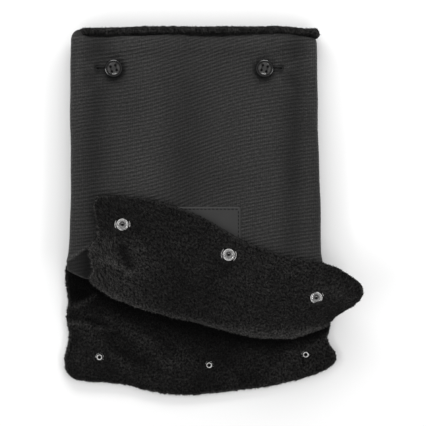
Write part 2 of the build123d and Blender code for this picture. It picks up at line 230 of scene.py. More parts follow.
def grid_faces(rows, columns, first=0, flip=False):
    """Quads over a grid of vertices stored row by row."""
    i, j = np.meshgrid(np.arange(rows - 1), np.arange(columns - 1), indexing="ij")
    a = first + i * columns + j
    quads = np.stack([a, a + 1, a + columns + 1, a + columns], axis=-1).reshape(-1, 4)
    return quads[:, ::-1] if flip else quads


def slab(name, outer, inner, layer, flat_place=None, shade=None, out=True):
    """A closed layer between two depths of a panel.

    outer and inner are grids of points, the woven face and the pile face. layer gives the
    layer's two depths as shares of the way from one to the other, its material and its slot.
    out is true where the grid turns anticlockwise seen from outside the woven face.
    """
    (start, end), material, slot = layer
    near = outer + (inner - outer) * start
    far = outer + (inner - outer) * end
    rows, columns = outer.shape[:2]
    count = rows * columns
    verts = np.concatenate([near.reshape(-1, 3), far.reshape(-1, 3)])
    index = np.arange(count).reshape(rows, columns)
    rim = np.concatenate([index[0, :], index[1:, -1], index[-1, -2::-1], index[-2:0:-1, 0]])
    after = np.roll(rim, -1)
    wall = np.stack([rim, rim + count, after + count, after], axis=-1)
    faces = np.concatenate([
        grid_faces(rows, columns, 0, not out),
        grid_faces(rows, columns, count, out),
        wall if out else wall[:, ::-1],
    ])
    flat = None if flat_place is None else np.concatenate([flat_place.reshape(-1, 2)] * 2)
    tone = None if shade is None else np.concatenate([shade.reshape(-1)] * 2)
    return new_piece(name, verts, faces, material, flat, tone)


def thin(step, *grids):
    """Every step-th row and column of the grids, and always the last."""
    rows = sorted(set(range(0, grids[0].shape[0], step)) | {grids[0].shape[0] - 1})
    columns = sorted(set(range(0, grids[0].shape[1], step)) | {grids[0].shape[1] - 1})
    return [grid[np.ix_(rows, columns)] for grid in grids]


def swept(name, rings, material, flat_place=None, shade=None):
    """A tube through a closed loop of rings of points."""
    rings = np.asarray(rings, float)
    count, around = rings.shape[:2]
    i, j = np.meshgrid(np.arange(count), np.arange(around), indexing="ij")
    here, there = i * around, (i + 1) % count * around
    after = (j + 1) % around
    faces = np.stack([here + j, here + after, there + after, there + j], axis=-1).reshape(-1, 4)
    flat = None if flat_place is None else flat_place.reshape(-1, 2)
    tone = None if shade is None else shade.reshape(-1)
    return new_piece(name, rings.reshape(-1, 3), faces, material, flat, tone)


def tube_faces(count, around, first=0):
    """Faces of a tube of rings of vertices, closed at both ends."""
    faces = []
    for ring in range(count - 1):
        for k in range(around):
            a = first + ring * around + k
            b = first + ring * around + (k + 1) % around
            faces.append((a, b, b + around, a + around))
    last = first + (count - 1) * around
    faces.append(tuple(first + k for k in reversed(range(around))))
    faces.append(tuple(last + k for k in range(around)))
    return faces


def stadium(start, end, radius, count):
    """Steps round a line with two half circles: distance run, point and outward normal.

    The line lies along X from start to end, the centres of the half circles, with y = 0.
    """
    straight = abs(end - start)
    way = math.copysign(1.0, end - start)
    half = straight + math.pi * radius
    steps = []
    for i in range(count):
        run = i / count * 2 * half
        lap, rest = divmod(run, half)
        turn = math.pi / 2 - max(0.0, rest - straight) / radius
        normal = np.array([way * math.cos(turn), math.sin(turn)])
        spot = np.array([start + way * min(rest, straight), 0.0]) + radius * normal
        if lap:
            spot, normal = np.array([start + end, 0.0]) - spot, -normal
        steps.append((run, spot, normal))
    return steps


# ---------------------------------------------------------------------------
# Materials
# ---------------------------------------------------------------------------

class Nodes:
    """A small writer of shader nodes for one material."""

    def __init__(self, name):
        self.material = bpy.data.materials.new(name)
        self.material.use_nodes = True
        self.tree = self.material.node_tree
        self.tree.nodes.clear()
        self.shader = self.tree.nodes.new("ShaderNodeBsdfPrincipled")
        output = self.tree.nodes.new("ShaderNodeOutputMaterial")
        self.tree.links.new(self.shader.outputs[0], output.inputs["Surface"])

    def put(self, sockets, values):
        """Sets each socket, by name or number, to a value or to another node's output."""
        for key, value in values.items():
            if isinstance(value, bpy.types.NodeSocket):
                self.tree.links.new(value, sockets[key])
            else:
                sockets[key].default_value = value

    def add(self, kind, output=0, inputs=None, **settings):
        """One output of a new node with these inputs and settings."""
        node = self.tree.nodes.new("ShaderNode" + kind)
        for key, value in settings.items():
            setattr(node, key, value)
        self.put(node.inputs, inputs or {})
        return node.outputs[output]

    def math(self, operation, a, b=0.0):
        return self.add("Math", 0, {0: a, 1: b}, operation=operation)

    def plus(self, a, b):
        return self.math("ADD", a, b)

    def times(self, product, *factors):
        for factor in factors:
            product = self.math("MULTIPLY", product, factor)
        return product

    def attribute(self, name, output):
        return self.add("Attribute", output, attribute_name=name)

    def scaled(self, vector, x, y, z=1.0):
        return self.add("Mapping", 0, {"Vector": vector, "Scale": (x, y, z)})

    def noise(self, vector, scale, detail=2.0, roughness=0.5):
        inputs = {"Vector": vector, "Scale": scale, "Detail": detail, "Roughness": roughness}
        return self.add("TexNoise", 0, inputs)

    def strand(self, place, scale):
        """The twist of a thread."""
        inputs = {"Vector": place, "Scale": scale, "Distortion": 2.0, "Detail": 2.0}
        return self.add("TexWave", 0, inputs)

    def ramp(self, share, low, high, start=0.0, end=1.0):
        """From low to high as the share goes from start to end."""
        inputs = {"Value": share, "From Min": start, "From Max": end, "To Min": low, "To Max": high}
        return self.add("MapRange", 0, inputs)

    def distance(self, place, centre):
        """How far a place is in plan from a centre given in millimetres, in millimetres."""
        middle = (centre[0] * MM, centre[1] * MM, 0)
        offset = self.add("VectorMath", 0, {0: place, 1: middle}, operation="SUBTRACT")
        in_plan = self.scaled(offset, 1 / MM, 1 / MM, 0)
        return self.add("VectorMath", "Value", {0: in_plan}, operation="LENGTH")

    def steps(self, value, stops):
        """A smooth function of a value through (value, result) pairs."""
        node = self.tree.nodes.new("ShaderNodeValToRGB")
        start, end = stops[0][0], stops[-1][0]
        self.put(node.inputs, {"Fac": self.ramp(value, 0.0, 1.0, start, end)})
        set_stops(node.color_ramp, [((place - start) / (end - start), level) for place, level in stops])
        return node.outputs["Color"]

    def grey(self, value, warm, factor):
        """A grey, a little warm, made lighter or darker by a factor."""
        colour = (value * (1 + warm), value, value * (1 - warm))
        return self.add("VectorMath", 0, {0: colour, "Scale": factor}, operation="SCALE")

    def bump(self, height, distance, strength, normal=None):
        inputs = {"Strength": strength, "Distance": distance, "Height": height}
        if normal is not None:
            inputs["Normal"] = normal
        return self.add("Bump", 0, inputs)

    def finish(self, **values):
        self.put(self.shader.inputs, {key.replace("_", " "): value for key, value in values.items()})
        return self.material


def set_stops(ramp, stops):
    """Gives a colour ramp its (position, grey level) pairs."""
    elements = ramp.elements
    elements[0].position, elements[1].position = stops[0][0], stops[-1][0]
    for position, _ in stops[1:-1]:
        elements.new(position)
    for element, (_, level) in zip(elements, stops):
        element.color = (level, level, level, 1)


RIB_TURNS = 2 * math.pi / 3.8              # radians of the cross ribs' wave per millimetre
YARN_TURNS = 2 * math.pi / 2.05            # and of the vertical yarns'
CLOTH_TONE = 0.0166
FLEECE_TONE = 0.0075


def woven_nylon():
    """Ribbed charcoal nylon: slubbed cross ribs over a fine vertical yarn."""
    n = Nodes("ribbed_charcoal_nylon")
    place = n.attribute("cloth", "Vector")
    drift = n.noise(n.scaled(place, 0.02, 0.05), 1.0)
    slub = n.noise(n.scaled(place, 0.3, 0.9), 1.0, 2.0)
    warp_drift = n.noise(n.scaled(place, 0.05, 0.05), 1.0)
    fine = n.noise(n.scaled(place, 1.4, 2.2), 1.0, 2.0)
    fleck = n.noise(n.scaled(place, 0.45, 0.7), 1.0, 3.0, 0.75)
    broad = n.noise(n.scaled(place, 0.016, 0.012), 1.0, 2.0)
    x = n.add("SeparateXYZ", "X", {"Vector": place})
    y = n.add("SeparateXYZ", "Y", {"Vector": place})
    rib_phase = n.plus(n.times(y, RIB_TURNS), n.times(drift, 5.0))
    rib = n.math("SINE", n.plus(rib_phase, n.times(slub, 4.5)))
    yarn = n.math("SINE", n.plus(n.times(x, YARN_TURNS), n.times(warp_drift, 6.0)))
    # The shade attribute brings in each piece's painted shade and painted highlights
    tone = n.times(
        n.ramp(rib, 0.72, 1.28, -1.0), n.ramp(yarn, 0.8, 1.2, -1.0), n.ramp(fleck, 0.25, 1.75, 0.32, 0.68),
        n.ramp(broad, 0.9, 1.1, 0.3, 0.7), n.attribute("shade", "Fac"),
    )
    relief = n.bump(n.plus(n.times(yarn, 0.5), fine), 0.00018, 0.6)
    return n.finish(
        Base_Color=n.grey(CLOTH_TONE, 0.02, tone), Roughness=n.ramp(fine, 0.62, 0.82),
        Normal=n.bump(rib, 0.0003, 0.7, relief),
        Specular_IOR_Level=0.16, Sheen_Weight=0.04, Sheen_Roughness=0.5,
    )


def plush():
    """Short black pile: clumped fibres that catch light at their tips."""
    n = Nodes("black_plush_lining")
    place = n.attribute("cloth", "Vector")
    clump = n.noise(n.scaled(place, 0.2, 0.2), 1.0, 2.0, 0.6)
    tuft = n.noise(n.scaled(place, 0.5, 0.42), 1.0, 2.0, 0.6)
    fibre = n.noise(n.scaled(place, 1.7, 1.1), 1.0, 3.0, 0.65)
    # The shade attribute brings in each piece's painted shade and painted highlights
    tone = n.times(
        n.ramp(clump, 0.7, 1.3, 0.35, 0.65), n.ramp(tuft, 0.05, 1.95, 0.35, 0.65),
        n.ramp(fibre, 0.25, 1.75, 0.35, 0.65), n.attribute("shade", "Fac"),
    )
    return n.finish(
        Base_Color=n.grey(FLEECE_TONE, 0.03, tone), Roughness=0.95,
        Normal=n.bump(tuft, 0.0018, 0.9, n.bump(fibre, 0.0009, 0.9)),
        Specular_IOR_Level=0.02, Sheen_Weight=0.03, Sheen_Roughness=0.6,
    )


def plain_fibre(name, tone_value, scale=0.6):
    """Wadding and threads: a matt twisted fibre."""
    n = Nodes(name)
    place = n.add("TexCoord", "Object")
    strand = n.strand(place, scale * 900)
    lint = n.noise(place, 400.0, 3.0)
    tone = n.times(n.ramp(strand, 0.75, 1.2), n.ramp(lint, 0.75, 1.25))
    return n.finish(
        Base_Color=n.grey(tone_value, 0.0, tone), Roughness=0.9,
        Normal=n.bump(strand, 0.0002, 0.6), Specular_IOR_Level=0.1,
    )


def leather():
    """Smooth matt imitation leather with a fine grain and scuffed spots."""
    n = Nodes("smooth_patch_leather")
    place = n.add("TexCoord", "Object")
    grain = n.add("TexVoronoi", 0, {"Vector": place, "Scale": 1300.0})
    scuff = n.noise(place, 60.0, 4.0, 0.6)
    tone = n.times(n.ramp(grain, 0.94, 1.05), n.ramp(scuff, 0.86, 1.14))
    return n.finish(
        Base_Color=n.grey(0.026, 0.01, tone), Roughness=n.ramp(scuff, 0.55, 0.7),
        Normal=n.bump(grain, 0.00006, 0.5), Specular_IOR_Level=0.22,
    )


def button_holes(n, place, side):
    """Distance in millimetres to the nearest of a button's four holes."""
    nearest = None
    for quarter in range(4):
        turn = math.radians(BUTTON_HOLE_TURN[side] + 90 * quarter)
        centre = BUTTONS[side][:2] + BUTTON_HOLE_PITCH * np.array([math.cos(turn), math.sin(turn)])
        reach = n.distance(place, centre)
        nearest = reach if nearest is None else n.math("MINIMUM", nearest, reach)
    return nearest


# Tone of a button at each radius: a dull dish, a painted highlight on the slope inside the rim and painted
# shade on the outer rim
DISH_SHADING = [(0, 1.6), (3.5, 1.8), (5.2, 3.4), (6.4, 2.2), (7.2, 0.1), (9.5, 0.02)]


def button_plastic(side):
    """Black moulded resin, with painted shade in its four holes and on its outer rim and a painted
    highlight on the slope inside the rim.
    """
    n = Nodes(f"moulded_resin_{side}")
    place = n.add("TexCoord", "Object")
    marble = n.noise(place, 190.0, 4.0, 0.6)
    speck = n.noise(place, 1600.0, 2.0)
    scratch = n.noise(n.scaled(place, 300.0, 2600.0, 300.0), 1.0, 2.0)
    tone = n.times(
        n.ramp(marble, 0.7, 1.3), n.ramp(speck, 0.88, 1.12),
        n.ramp(button_holes(n, place, side), 0.02, 1.0, 1.2, 1.9),
        n.steps(n.distance(place, BUTTONS[side]), DISH_SHADING),
    )
    return n.finish(
        Base_Color=n.grey(0.014, 0.02, tone), Roughness=n.ramp(scratch, 0.09, 0.18),
        Normal=n.bump(scratch, 0.00002, 0.4), Specular_IOR_Level=0.42,
    )


def button_cord(side):
    """The button's thread, with painted shade where it enters the holes."""
    n = Nodes(f"button_thread_{side}")
    place = n.add("TexCoord", "Object")
    strand = n.strand(place, 1300.0)
    lint = n.noise(place, 500.0, 3.0)
    tone = n.times(
        n.ramp(strand, 0.8, 1.2), n.ramp(lint, 0.8, 1.2),
        n.ramp(button_holes(n, place, side), 0.05, 1.0, 1.2, 1.8),
    )
    return n.finish(
        Base_Color=n.grey(0.018, 0.0, tone), Roughness=0.9,
        Normal=n.bump(strand, 0.0001, 0.5), Specular_IOR_Level=0.1,
    )


METAL_BACK_TONE = 0.3            # a cap's or post's side that lies against the cloth


def snap_metal(name, value, rough, centre=None, rings=None, from_height=None):
    """Nickel-plated brass with tarnish and small scratches, and rings of painted shade and highlight round
    the snap's middle.

    centre is the snap's place in plan, rings the painted shade and highlight at each
    radius, and from_height the height above which the rings apply.
    """
    n = Nodes(name)
    place = n.add("TexCoord", "Object")
    scratch = n.noise(n.scaled(place, 3000.0, 300.0, 300.0), 1.0, 3.0)
    tarnish = n.noise(place, 500.0, 4.0, 0.65)
    tone = n.ramp(tarnish, 0.45, 1.35, 0.32, 0.68)
    if centre is not None:
        ring = n.steps(n.distance(place, centre), rings)
        if from_height is not None:
            height = n.add("SeparateXYZ", "Z", {"Vector": place})
            above = n.ramp(height, 0.0, 1.0, (from_height - 0.1) * MM, (from_height + 0.1) * MM)
            below = n.times(n.math("SUBTRACT", 1.0, above), METAL_BACK_TONE)
            ring = n.plus(n.times(ring, above), below)
        tone = n.times(tone, ring)
    return n.finish(
        Base_Color=n.grey(value, 0.01, tone), Metallic=1.0,
        Roughness=n.ramp(scratch, rough, rough + 0.14), Normal=n.bump(tarnish, 0.00006, 0.5),
    )


THREAD = plain_fibre("dark_sewing_thread", 0.012, 1.4)
SEAM_THREAD = plain_fibre("charcoal_seam_thread", 0.019, 1.4)
SPRING_STEEL = snap_metal("spring_wire_steel", 0.95, 0.12)
PLUSH = plush()
NYLON = woven_nylon()

# The layers of a panel: depths as shares of its thickness from the woven face to the pile,
# material and slot
CLOTH = ((0.0, 0.16), NYLON, "outer")
WADDING = ((0.2, 0.5), plain_fibre("charcoal_wadding_fibre", 0.02), "wadding")
LINING = ((0.52, 1.0), PLUSH, "fleece")
PATCH = ((0.0, 1.0), leather(), "patch")
FACING = ((0.0, 1.0), NYLON, "outer")


# ---------------------------------------------------------------------------
# Surfaces
# ---------------------------------------------------------------------------

def coons(bottom, right, top, left, columns, rows):
    """A patch between four boundary curves; columns and rows are shares from 0 to 1."""
    u = columns[None, :, None]
    v = rows[:, None, None]
    across = (1 - v) * bottom(columns)[None] + v * top(columns)[None]
    along = (1 - u) * left(rows)[:, None] + u * right(rows)[:, None]
    corners = (
        (1 - u) * (1 - v) * bottom(0.0) + u * (1 - v) * bottom(1.0)
        + (1 - u) * v * top(0.0) + u * v * top(1.0)
    )
    return across + along - corners


def edge_distance(grid, sides):
    """How far each point of a plan grid lies from the named sides, along the grid lines."""
    steps_u = np.linalg.norm(np.diff(grid, axis=1), axis=2)
    steps_v = np.linalg.norm(np.diff(grid, axis=0), axis=2)
    zero_u = np.zeros((grid.shape[0], 1))
    zero_v = np.zeros((1, grid.shape[1]))
    from_side = {
        "L": lambda: np.concatenate([zero_u, np.cumsum(steps_u, axis=1)], axis=1),
        "R": lambda: np.concatenate([zero_u, np.cumsum(steps_u[:, ::-1], axis=1)], axis=1)[:, ::-1],
        "B": lambda: np.concatenate([zero_v, np.cumsum(steps_v, axis=0)], axis=0),
        "T": lambda: np.concatenate([zero_v, np.cumsum(steps_v[::-1], axis=0)], axis=0)[::-1],
    }
    return np.min([from_side[side]() for side in sides], axis=0)


EDGE_ROUND = 7.0                 # how far in from an edge the two faces draw together
EDGE_SHRINK = 0.8                # and by which share of their distance at the edge itself


def pillow(outer, inner, distance, toward):
    """Brings the two faces together near an edge, as a turned and stuffed edge does.

    toward is the woven face's share of the movement.
    """
    round_off = 1 - np.clip(distance / EDGE_ROUND, 0, 1)
    closing = (1 - np.sqrt(np.clip(1 - round_off ** 2, 0, 1))) * EDGE_SHRINK
    span = inner - outer
    return (
        outer + span * (closing * toward)[..., None],
        inner - span * (closing * (1 - toward))[..., None],
    )


def ridge(x, y, points, width, height):
    """A soft ridge or crease along a line of points in plan."""
    points = np.array(points, float)
    nearest = np.full(np.shape(x), 1e9)
    for start, end in zip(points[:-1], points[1:]):
        run = end - start
        share = np.clip(((x - start[0]) * run[0] + (y - start[1]) * run[1]) / (run @ run), 0, 1)
        dx = x - start[0] - share * run[0]
        dy = y - start[1] - share * run[1]
        nearest = np.minimum(nearest, dx * dx + dy * dy)
    return height * np.exp(-nearest / (width * width))


def ridges(x, y, table, origin=(0, 0), way=1):
    """The sum of a table's ridges and creases: points, half width and height of each.

    The points count from the origin, and way -1 mirrors them.
    """
    return sum(
        ridge(x, y, [(origin[0] + way * px, origin[1] + py) for px, py in points], width, height)
        for points, width, height in table
    )


def pile(x, y, height=1.0):
    """The lumpy surface of short plush, as a height in millimetres."""
    coarse = lattice_noise(x, y, 6.0, 11)
    middle = lattice_noise(x, y, 3.1, 12)
    fine = lattice_noise(x, y, 1.7, 13)
    return height * (0.45 * coarse + 0.45 * middle + 0.4 * fine)


# ---- Loose fibres of the plush ----

FIBRE_RADIUS = 0.26
RIM_REACH = 4                    # how many grid steps in from an edge tell which way is out
NAP = np.array([0.25, -0.2, 0])  # which way the pile lies
HOLE_CLEAR = 1.04                # no fibre stands nearer to a snap, in shares of its hole
LEANING = 1.6                    # how far round a hole the fibres lean over it, in millimetres


def sample_grid(grid, row, column):
    """Values of a grid at places between its rows and columns."""
    i, j = np.floor(row).astype(int), np.floor(column).astype(int)
    u, v = (row - i), (column - j)
    if grid.ndim == 3:
        u, v = u[:, None], v[:, None]
    return mix(mix(grid[i, j], grid[i + 1, j], u), mix(grid[i, j + 1], grid[i + 1, j + 1], u), v)


def fibre_mesh(name, roots, heads, radius, places, tones):
    """Slender closed pyramids from their roots to their heads, none of which dips into the table."""
    roots, heads = roots.copy(), heads.copy()
    for ends in (roots, heads):
        ends[:, 2] = np.maximum(ends[:, 2], 2 * FIBRE_RADIUS)
    way = unit(heads - roots)
    side = unit(np.cross(way, np.where(np.abs(way[:, :1]) < 0.8, [[1.0, 0, 0]], [[0, 1.0, 0]])))
    other = np.cross(way, side)
    corners = [
        roots + radius[:, None] * (side * math.cos(turn) + other * math.sin(turn))
        for turn in (0, 2 * math.pi / 3, 4 * math.pi / 3)
    ]
    verts = np.stack([*corners, heads], axis=1).reshape(-1, 3)
    first = 4 * np.arange(len(roots))[:, None]
    faces = np.stack(
        [first + corner for corner in ([0, 2, 1], [0, 1, 3], [1, 2, 3], [2, 0, 3])], axis=1
    ).reshape(-1, 3)
    return new_piece(
        name, verts, faces, PLUSH, np.repeat(places, 4, axis=0), np.repeat(tones, 4)
    )


def pile_fibres(name, face, back, shade, places, count, edge_count, seed, holes, free_rows):
    """Fibres standing on a pile face and bristling from its free edges.

    holes lists the snaps' openings, over which the nearest fibres lean, and free_rows is the
    first row of the grid on which fibres stand.
    """
    random = np.random.RandomState(seed)
    rows, columns = face.shape[:2]
    row = random.uniform(free_rows, rows - 1.001, count)
    column = random.uniform(0, columns - 1.001, count)
    root = sample_grid(face, row, column)
    out = unit(root - sample_grid(back, row, column))
    along_row, along_column = np.gradient(face, axis=0), np.gradient(face, axis=1)
    normal = unit(np.cross(sample_grid(along_column, row, column), sample_grid(along_row, row, column)))
    normal = normal * np.sign(np.sum(normal * out, axis=1, keepdims=True))
    lean = random.normal(0, 0.55, (count, 3)) + NAP
    length = random.uniform(1.1, 2.3, count)
    keep = np.ones(count, bool)
    for centre, hole in holes:
        dx, dy = root[:, 0] - centre[0] - hole[0], root[:, 1] - centre[1] - hole[1]
        size = (hole[2] + hole[3]) / 2
        ring = np.hypot(dx / hole[2], dy / hole[3])
        above = root[:, 2] > centre[2] - 8
        keep &= (ring > HOLE_CLEAR) | ~above
        near = ((ring < HOLE_CLEAR + LEANING / size) & above)[:, None]
        inward = -np.stack([dx, dy, 0 * dx], axis=1) / (size * np.maximum(ring, 0.1))[:, None]
        lean = np.where(near, inward * 1.5 + 0.4 * lean, lean)
    head = root + unit(normal + lean) * length[:, None]
    tone = sample_grid(shade, row, column) * random.uniform(0.6, 1.8, count)
    place = sample_grid(places, row, column)
    root, head, tone, place = root[keep], head[keep], tone[keep], place[keep]

    pick = random.randint(0, 3, edge_count)
    row = np.where(pick == 2, rows - 1.001, random.uniform(free_rows, rows - 1.001, edge_count))
    across = random.uniform(0, columns - 1.001, edge_count)
    column = np.where(pick == 0, 0.0, np.where(pick == 1, columns - 1.001, across))
    inner_row = np.where(pick == 2, rows - 1.0 - RIM_REACH, row)
    inner_column = np.where(
        pick == 0, RIM_REACH, np.where(pick == 1, columns - 1.0 - RIM_REACH, column)
    )
    rim_root = sample_grid(face, row, column)
    level = random.uniform(0.0, 0.5, edge_count)[:, None]
    rim_root = rim_root + (sample_grid(back, row, column) - rim_root) * level
    outward = rim_root - sample_grid(face, inner_row, inner_column)
    outward[:, 2] = 0
    way = unit(unit(outward) + random.normal(0, 0.5, (edge_count, 3)) + np.array([0, 0, 0.25]))
    rim_head = rim_root + way * (2.4 * random.uniform(0.3, 1.0, edge_count) ** 2)[:, None]
    rim_tone = sample_grid(shade, row, column) * random.uniform(0.4, 1.1, edge_count)
    rim_place = sample_grid(places, row, column)
    roots = np.concatenate([root, rim_root])
    heads = np.concatenate([head, rim_head])
    radius = FIBRE_RADIUS * random.uniform(0.7, 1.2, len(roots))
    radius[len(root):] *= 1.4
    return fibre_mesh(
        name, roots, heads, radius, np.concatenate([place, rim_place]),
        np.concatenate([tone, rim_tone]),
    )


# ---- The tube ----

MOUTH_LEFT_X, MOUTH_RIGHT_X = -130.4, 125.8
SLIT_LEFT_X, SLIT_RIGHT_X = SHELL_LOW[0], 131.2
SIDE_RADIUS = SEAM_Z
PANEL_TOP_Y = MOUTH_Y + 1.5
ARC_COLUMNS = 10
CORNER_ROUND = 9.0
CORNER_RISE, CORNER_REACH = 5.0, 30.0      # how far the left corner stands up beside the rim
PANEL_WIDTH = 262.0                        # on which the side arcs' share of the columns is measured
SEAM_PULL, SEAM_REACH = 1.2, 1.5           # how far a sewn side is drawn in, and how near the seam
HOLE_REACH = 18.0                          # from a button's middle to the far end of its buttonhole


def arc_columns(flat_count):
    """Shares across a panel, gathered at the sides where it turns on an arc, and the angle at each."""
    turn = np.linspace(0, math.pi / 2, ARC_COLUMNS, endpoint=False)
    side = (1 - np.cos(turn)) * SIDE_RADIUS / PANEL_WIDTH
    middle = np.linspace(SIDE_RADIUS / PANEL_WIDTH, 1 - SIDE_RADIUS / PANEL_WIDTH, flat_count)
    columns = np.concatenate([side, middle, 1 - side[::-1]])
    angles = np.concatenate([turn, np.full(flat_count, math.pi / 2), math.pi - turn[::-1]])
    return columns, angles


def set_off(outer, depth, columns_angle, way_up):
    """The pile face of a panel: its depth below the woven face, turning with the side arcs."""
    inner = outer.copy()
    inner[..., 0] += depth * np.cos(columns_angle)
    inner[..., 2] -= way_up * depth * np.abs(np.sin(columns_angle))
    return inner


def draw_in(outer, side_distance, sewn):
    """Draws the woven face in along its sides, as far as they are sewn."""
    pull = SEAM_PULL * np.exp(-(side_distance / SEAM_REACH) ** 2) * sewn
    outer[..., 0] += pull * np.where(outer[..., 0] < 0, 1, -1)


def side_curve(mouth_x, slit_x, corner, phase, rise=0.0):
    """One side edge of the front panel in plan, from its lower corner up to the mouth."""
    points = [corner]
    flare = 1.0 if slit_x > 0 else 15.0
    for y in [*np.linspace(SLIT_Y + 6, PANEL_TOP_Y - 12, 20), *(PANEL_TOP_Y - np.array([8, 5, 2.5, 1, 0]))]:
        share = ((MOUTH_Y - y) / (MOUTH_Y - SLIT_Y)) ** flare
        wobble = 0.4 * math.sin(y / 23.0 + phase) + 0.2 * math.sin(y / 8.7 + phase)
        inset = CORNER_ROUND * (1 - math.sqrt(1 - max(0.0, (y - PANEL_TOP_Y) / CORNER_ROUND + 1) ** 2))
        raised = y + rise * max(0.0, 1 - (PANEL_TOP_Y - y) / CORNER_REACH)
        points.append((mix(mouth_x, slit_x, share) + wobble - math.copysign(inset, mouth_x), raised))
    return spline(points)


# The fold's lower edge, as distances along the fold and across it
FOLD_EDGE = profile([
    (-118, 8.5), (-111, 4.5), (-100, 0), (-88, -5), (-67, -9.6), (-45, -13), (-24, -14.6),
    (8, -17.3), (40, -20.1), (61, -20.6), (81, -18), (101, -14.4), (121, -5.8), (138, 4.5), (146, 10),
])
FOLD_START, FOLD_END = -111.0, 137.0
ROLL_Z = 26.5


def roll_radius(along):
    """The radius of the fold's pile face, smaller at its pinched ends."""
    return 6.5 + 5.0 * smooth(along, FOLD_START, FOLD_START + 26) * (1 - smooth(along, 112, FOLD_END))


def roll_centre(along):
    return FOLD_EDGE(along) + roll_radius(along)


def roll_inside(along):
    """The radius of the fold's woven face."""
    return np.maximum(roll_radius(along) - STACK, 1.2)


def front_height(x, y):
    """The height of the front panel's woven face over the table."""
    along, across = to_fold(x, y)
    start = roll_centre(np.clip(along, FOLD_START, FOLD_END))
    sag = (ROLL_Z - roll_inside(np.clip(along, FOLD_START, FOLD_END))) - TUBE_TOP
    height = TUBE_TOP + sag * (1 - smooth(across, start, start + 42))
    open_part = smooth(across, 95, 135)
    waves = (
        1.5 * np.sin((x + 12) / 11.5 * 0.62 + y / 60) * smooth(y, 20, 70)
        + 1.0 * lattice_noise(x, y, 26.0, 3)
        + 0.8 * lattice_noise(x * 1.8, y * 0.6, 17.0, 5)
    )
    height = height + waves * open_part
    height = height - 2.6 * (1 - smooth(PANEL_TOP_Y - y, 0, 6))
    height = height + 1.1 * np.exp(-((y - MOUTH_Y + 13) / 6.0) ** 2)
    for side, way in OUTWARD.items():
        height = height + button_pucker(x, y, BUTTONS[side], way)
    return height + ridge(x, y, SIDE_FOLD, 2.0, 1.2)


# Round a button, from its middle and away from the panel's: first the buttonhole's slot, then
# the creases that the button pulls, and the streaks of painted shade and highlight beside them
BUTTON_CREASES = [
    ([(9, 0), (HOLE_REACH, 0)], 1.3, -1.0),
    ([(HOLE_REACH, 0), (HOLE_REACH + 14, 10)], 3.0, -0.9),
    ([(HOLE_REACH, 0), (HOLE_REACH + 12, -11)], 3.0, -0.9),
    ([(2, 9), (6, 24)], 3.2, -1.0),
    ([(-4, -9), (-9, -30)], 3.4, -0.9),
]
BUTTON_STREAK_SHADING = [([(18, -3), (30, -14)], 4.0, -0.2), ([(12, -12), (28, -24)], 4.0, 0.16)]


def button_pucker(x, y, place, way):
    """The dimple under a button, the buttonhole beside it and the creases that it pulls."""
    bx, by = place[:2]
    dimple = -2.0 * bump_at(x, y, (bx, by), 9)
    swell = 0.9 * bump_at(x, y, (bx + way * 6, by - 16), 11) + 0.9 * bump_at(x, y, (bx, by + 17), 12, 8)
    return dimple + ridges(x, y, BUTTON_CREASES, (bx, by), way) + swell


def front_grid():
    corner_left = (SLIT_LEFT_X - 0.2, SLIT_Y - 9.5)
    left = side_curve(MOUTH_LEFT_X, SLIT_LEFT_X, corner_left, 0.0, CORNER_RISE)
    end = from_fold(FOLD_END, roll_centre(FOLD_END))
    right = side_curve(MOUTH_RIGHT_X, SLIT_RIGHT_X, end, 1.3)
    under = [corner_left, (-124.0, -66.5), (-115.0, -70.5)]
    for along in np.linspace(FOLD_START + 8, FOLD_END, 22):
        under.append(from_fold(along, float(roll_centre(along))))
    bottom = spline(under)
    top = spline([
        (MOUTH_LEFT_X, PANEL_TOP_Y + CORNER_RISE), (-124.0, PANEL_TOP_Y + CORNER_RISE),
        (-114.0, PANEL_TOP_Y + 0.5 * CORNER_RISE), (-100.0, PANEL_TOP_Y), (-3.4, PANEL_TOP_Y + 0.3),
        (MOUTH_RIGHT_X, PANEL_TOP_Y),
    ])
    columns, angle = arc_columns(124)
    plan = coons(bottom, right, top, left, columns, np.linspace(0, 1, 300))
    x, y = plan[..., 0], plan[..., 1]
    fall = SIDE_RADIUS - 9.0 * (1 - smooth(y, SLIT_Y - 6, SLIT_Y + 16))
    z = np.maximum(front_height(x, y), SEAM_Z) - fall * (1 - np.abs(np.sin(angle)))[None, :]
    outer = np.stack([x, y, z], axis=-1)
    inner = set_off(outer, STACK, angle[None, :], 1)
    sewn = smooth(y, SLIT_Y - 4, SLIT_Y + 8)
    sides = edge_distance(plan, "LR")
    outer, inner = pillow(outer, inner, sides + 40 * sewn, 0.3)
    draw_in(outer, sides, sewn)
    return outer, inner, plan


def rib_place(plan):
    """Where a point of the panel lies on the uncut cloth, whose ribs rise a little to the right."""
    x, y = plan[..., 0], plan[..., 1]
    rise = 0.18 * x + 9.0 * smooth(x, -50, 60) + 2.5 * np.sin(x / 41.0) + 1.5 * lattice_noise(x, y, 40, 21)
    return np.stack([x + 1.2 * lattice_noise(x, y, 30, 22), y - rise], axis=-1)


def build_front():
    outer, inner, plan = front_grid()
    flat = rib_place(plan)
    rib = 0.16 * np.sin(flat[..., 1] * RIB_TURNS + 2.0 * lattice_noise(plan[..., 0], plan[..., 1], 9, 31))
    cloth_face = outer.copy()
    cloth_face[..., 2] += rib * smooth(edge_distance(plan, "LR"), 0, 14)
    shade = front_shade(plan)
    cloth = slab("front_panel_cloth", cloth_face, inner, CLOTH, flat, shade)
    outer, inner, flat = thin(2, outer, inner, flat)
    wadding = slab("front_panel_wadding", outer, inner, WADDING, flat)
    lining = slab("front_panel_lining", outer, inner, LINING, flat)
    for piece, node in ((cloth, "outer_shell"), (wadding, "padding"), (lining, "fleece_lining")):
        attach(piece, "root")
        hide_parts(f"front_{node}")
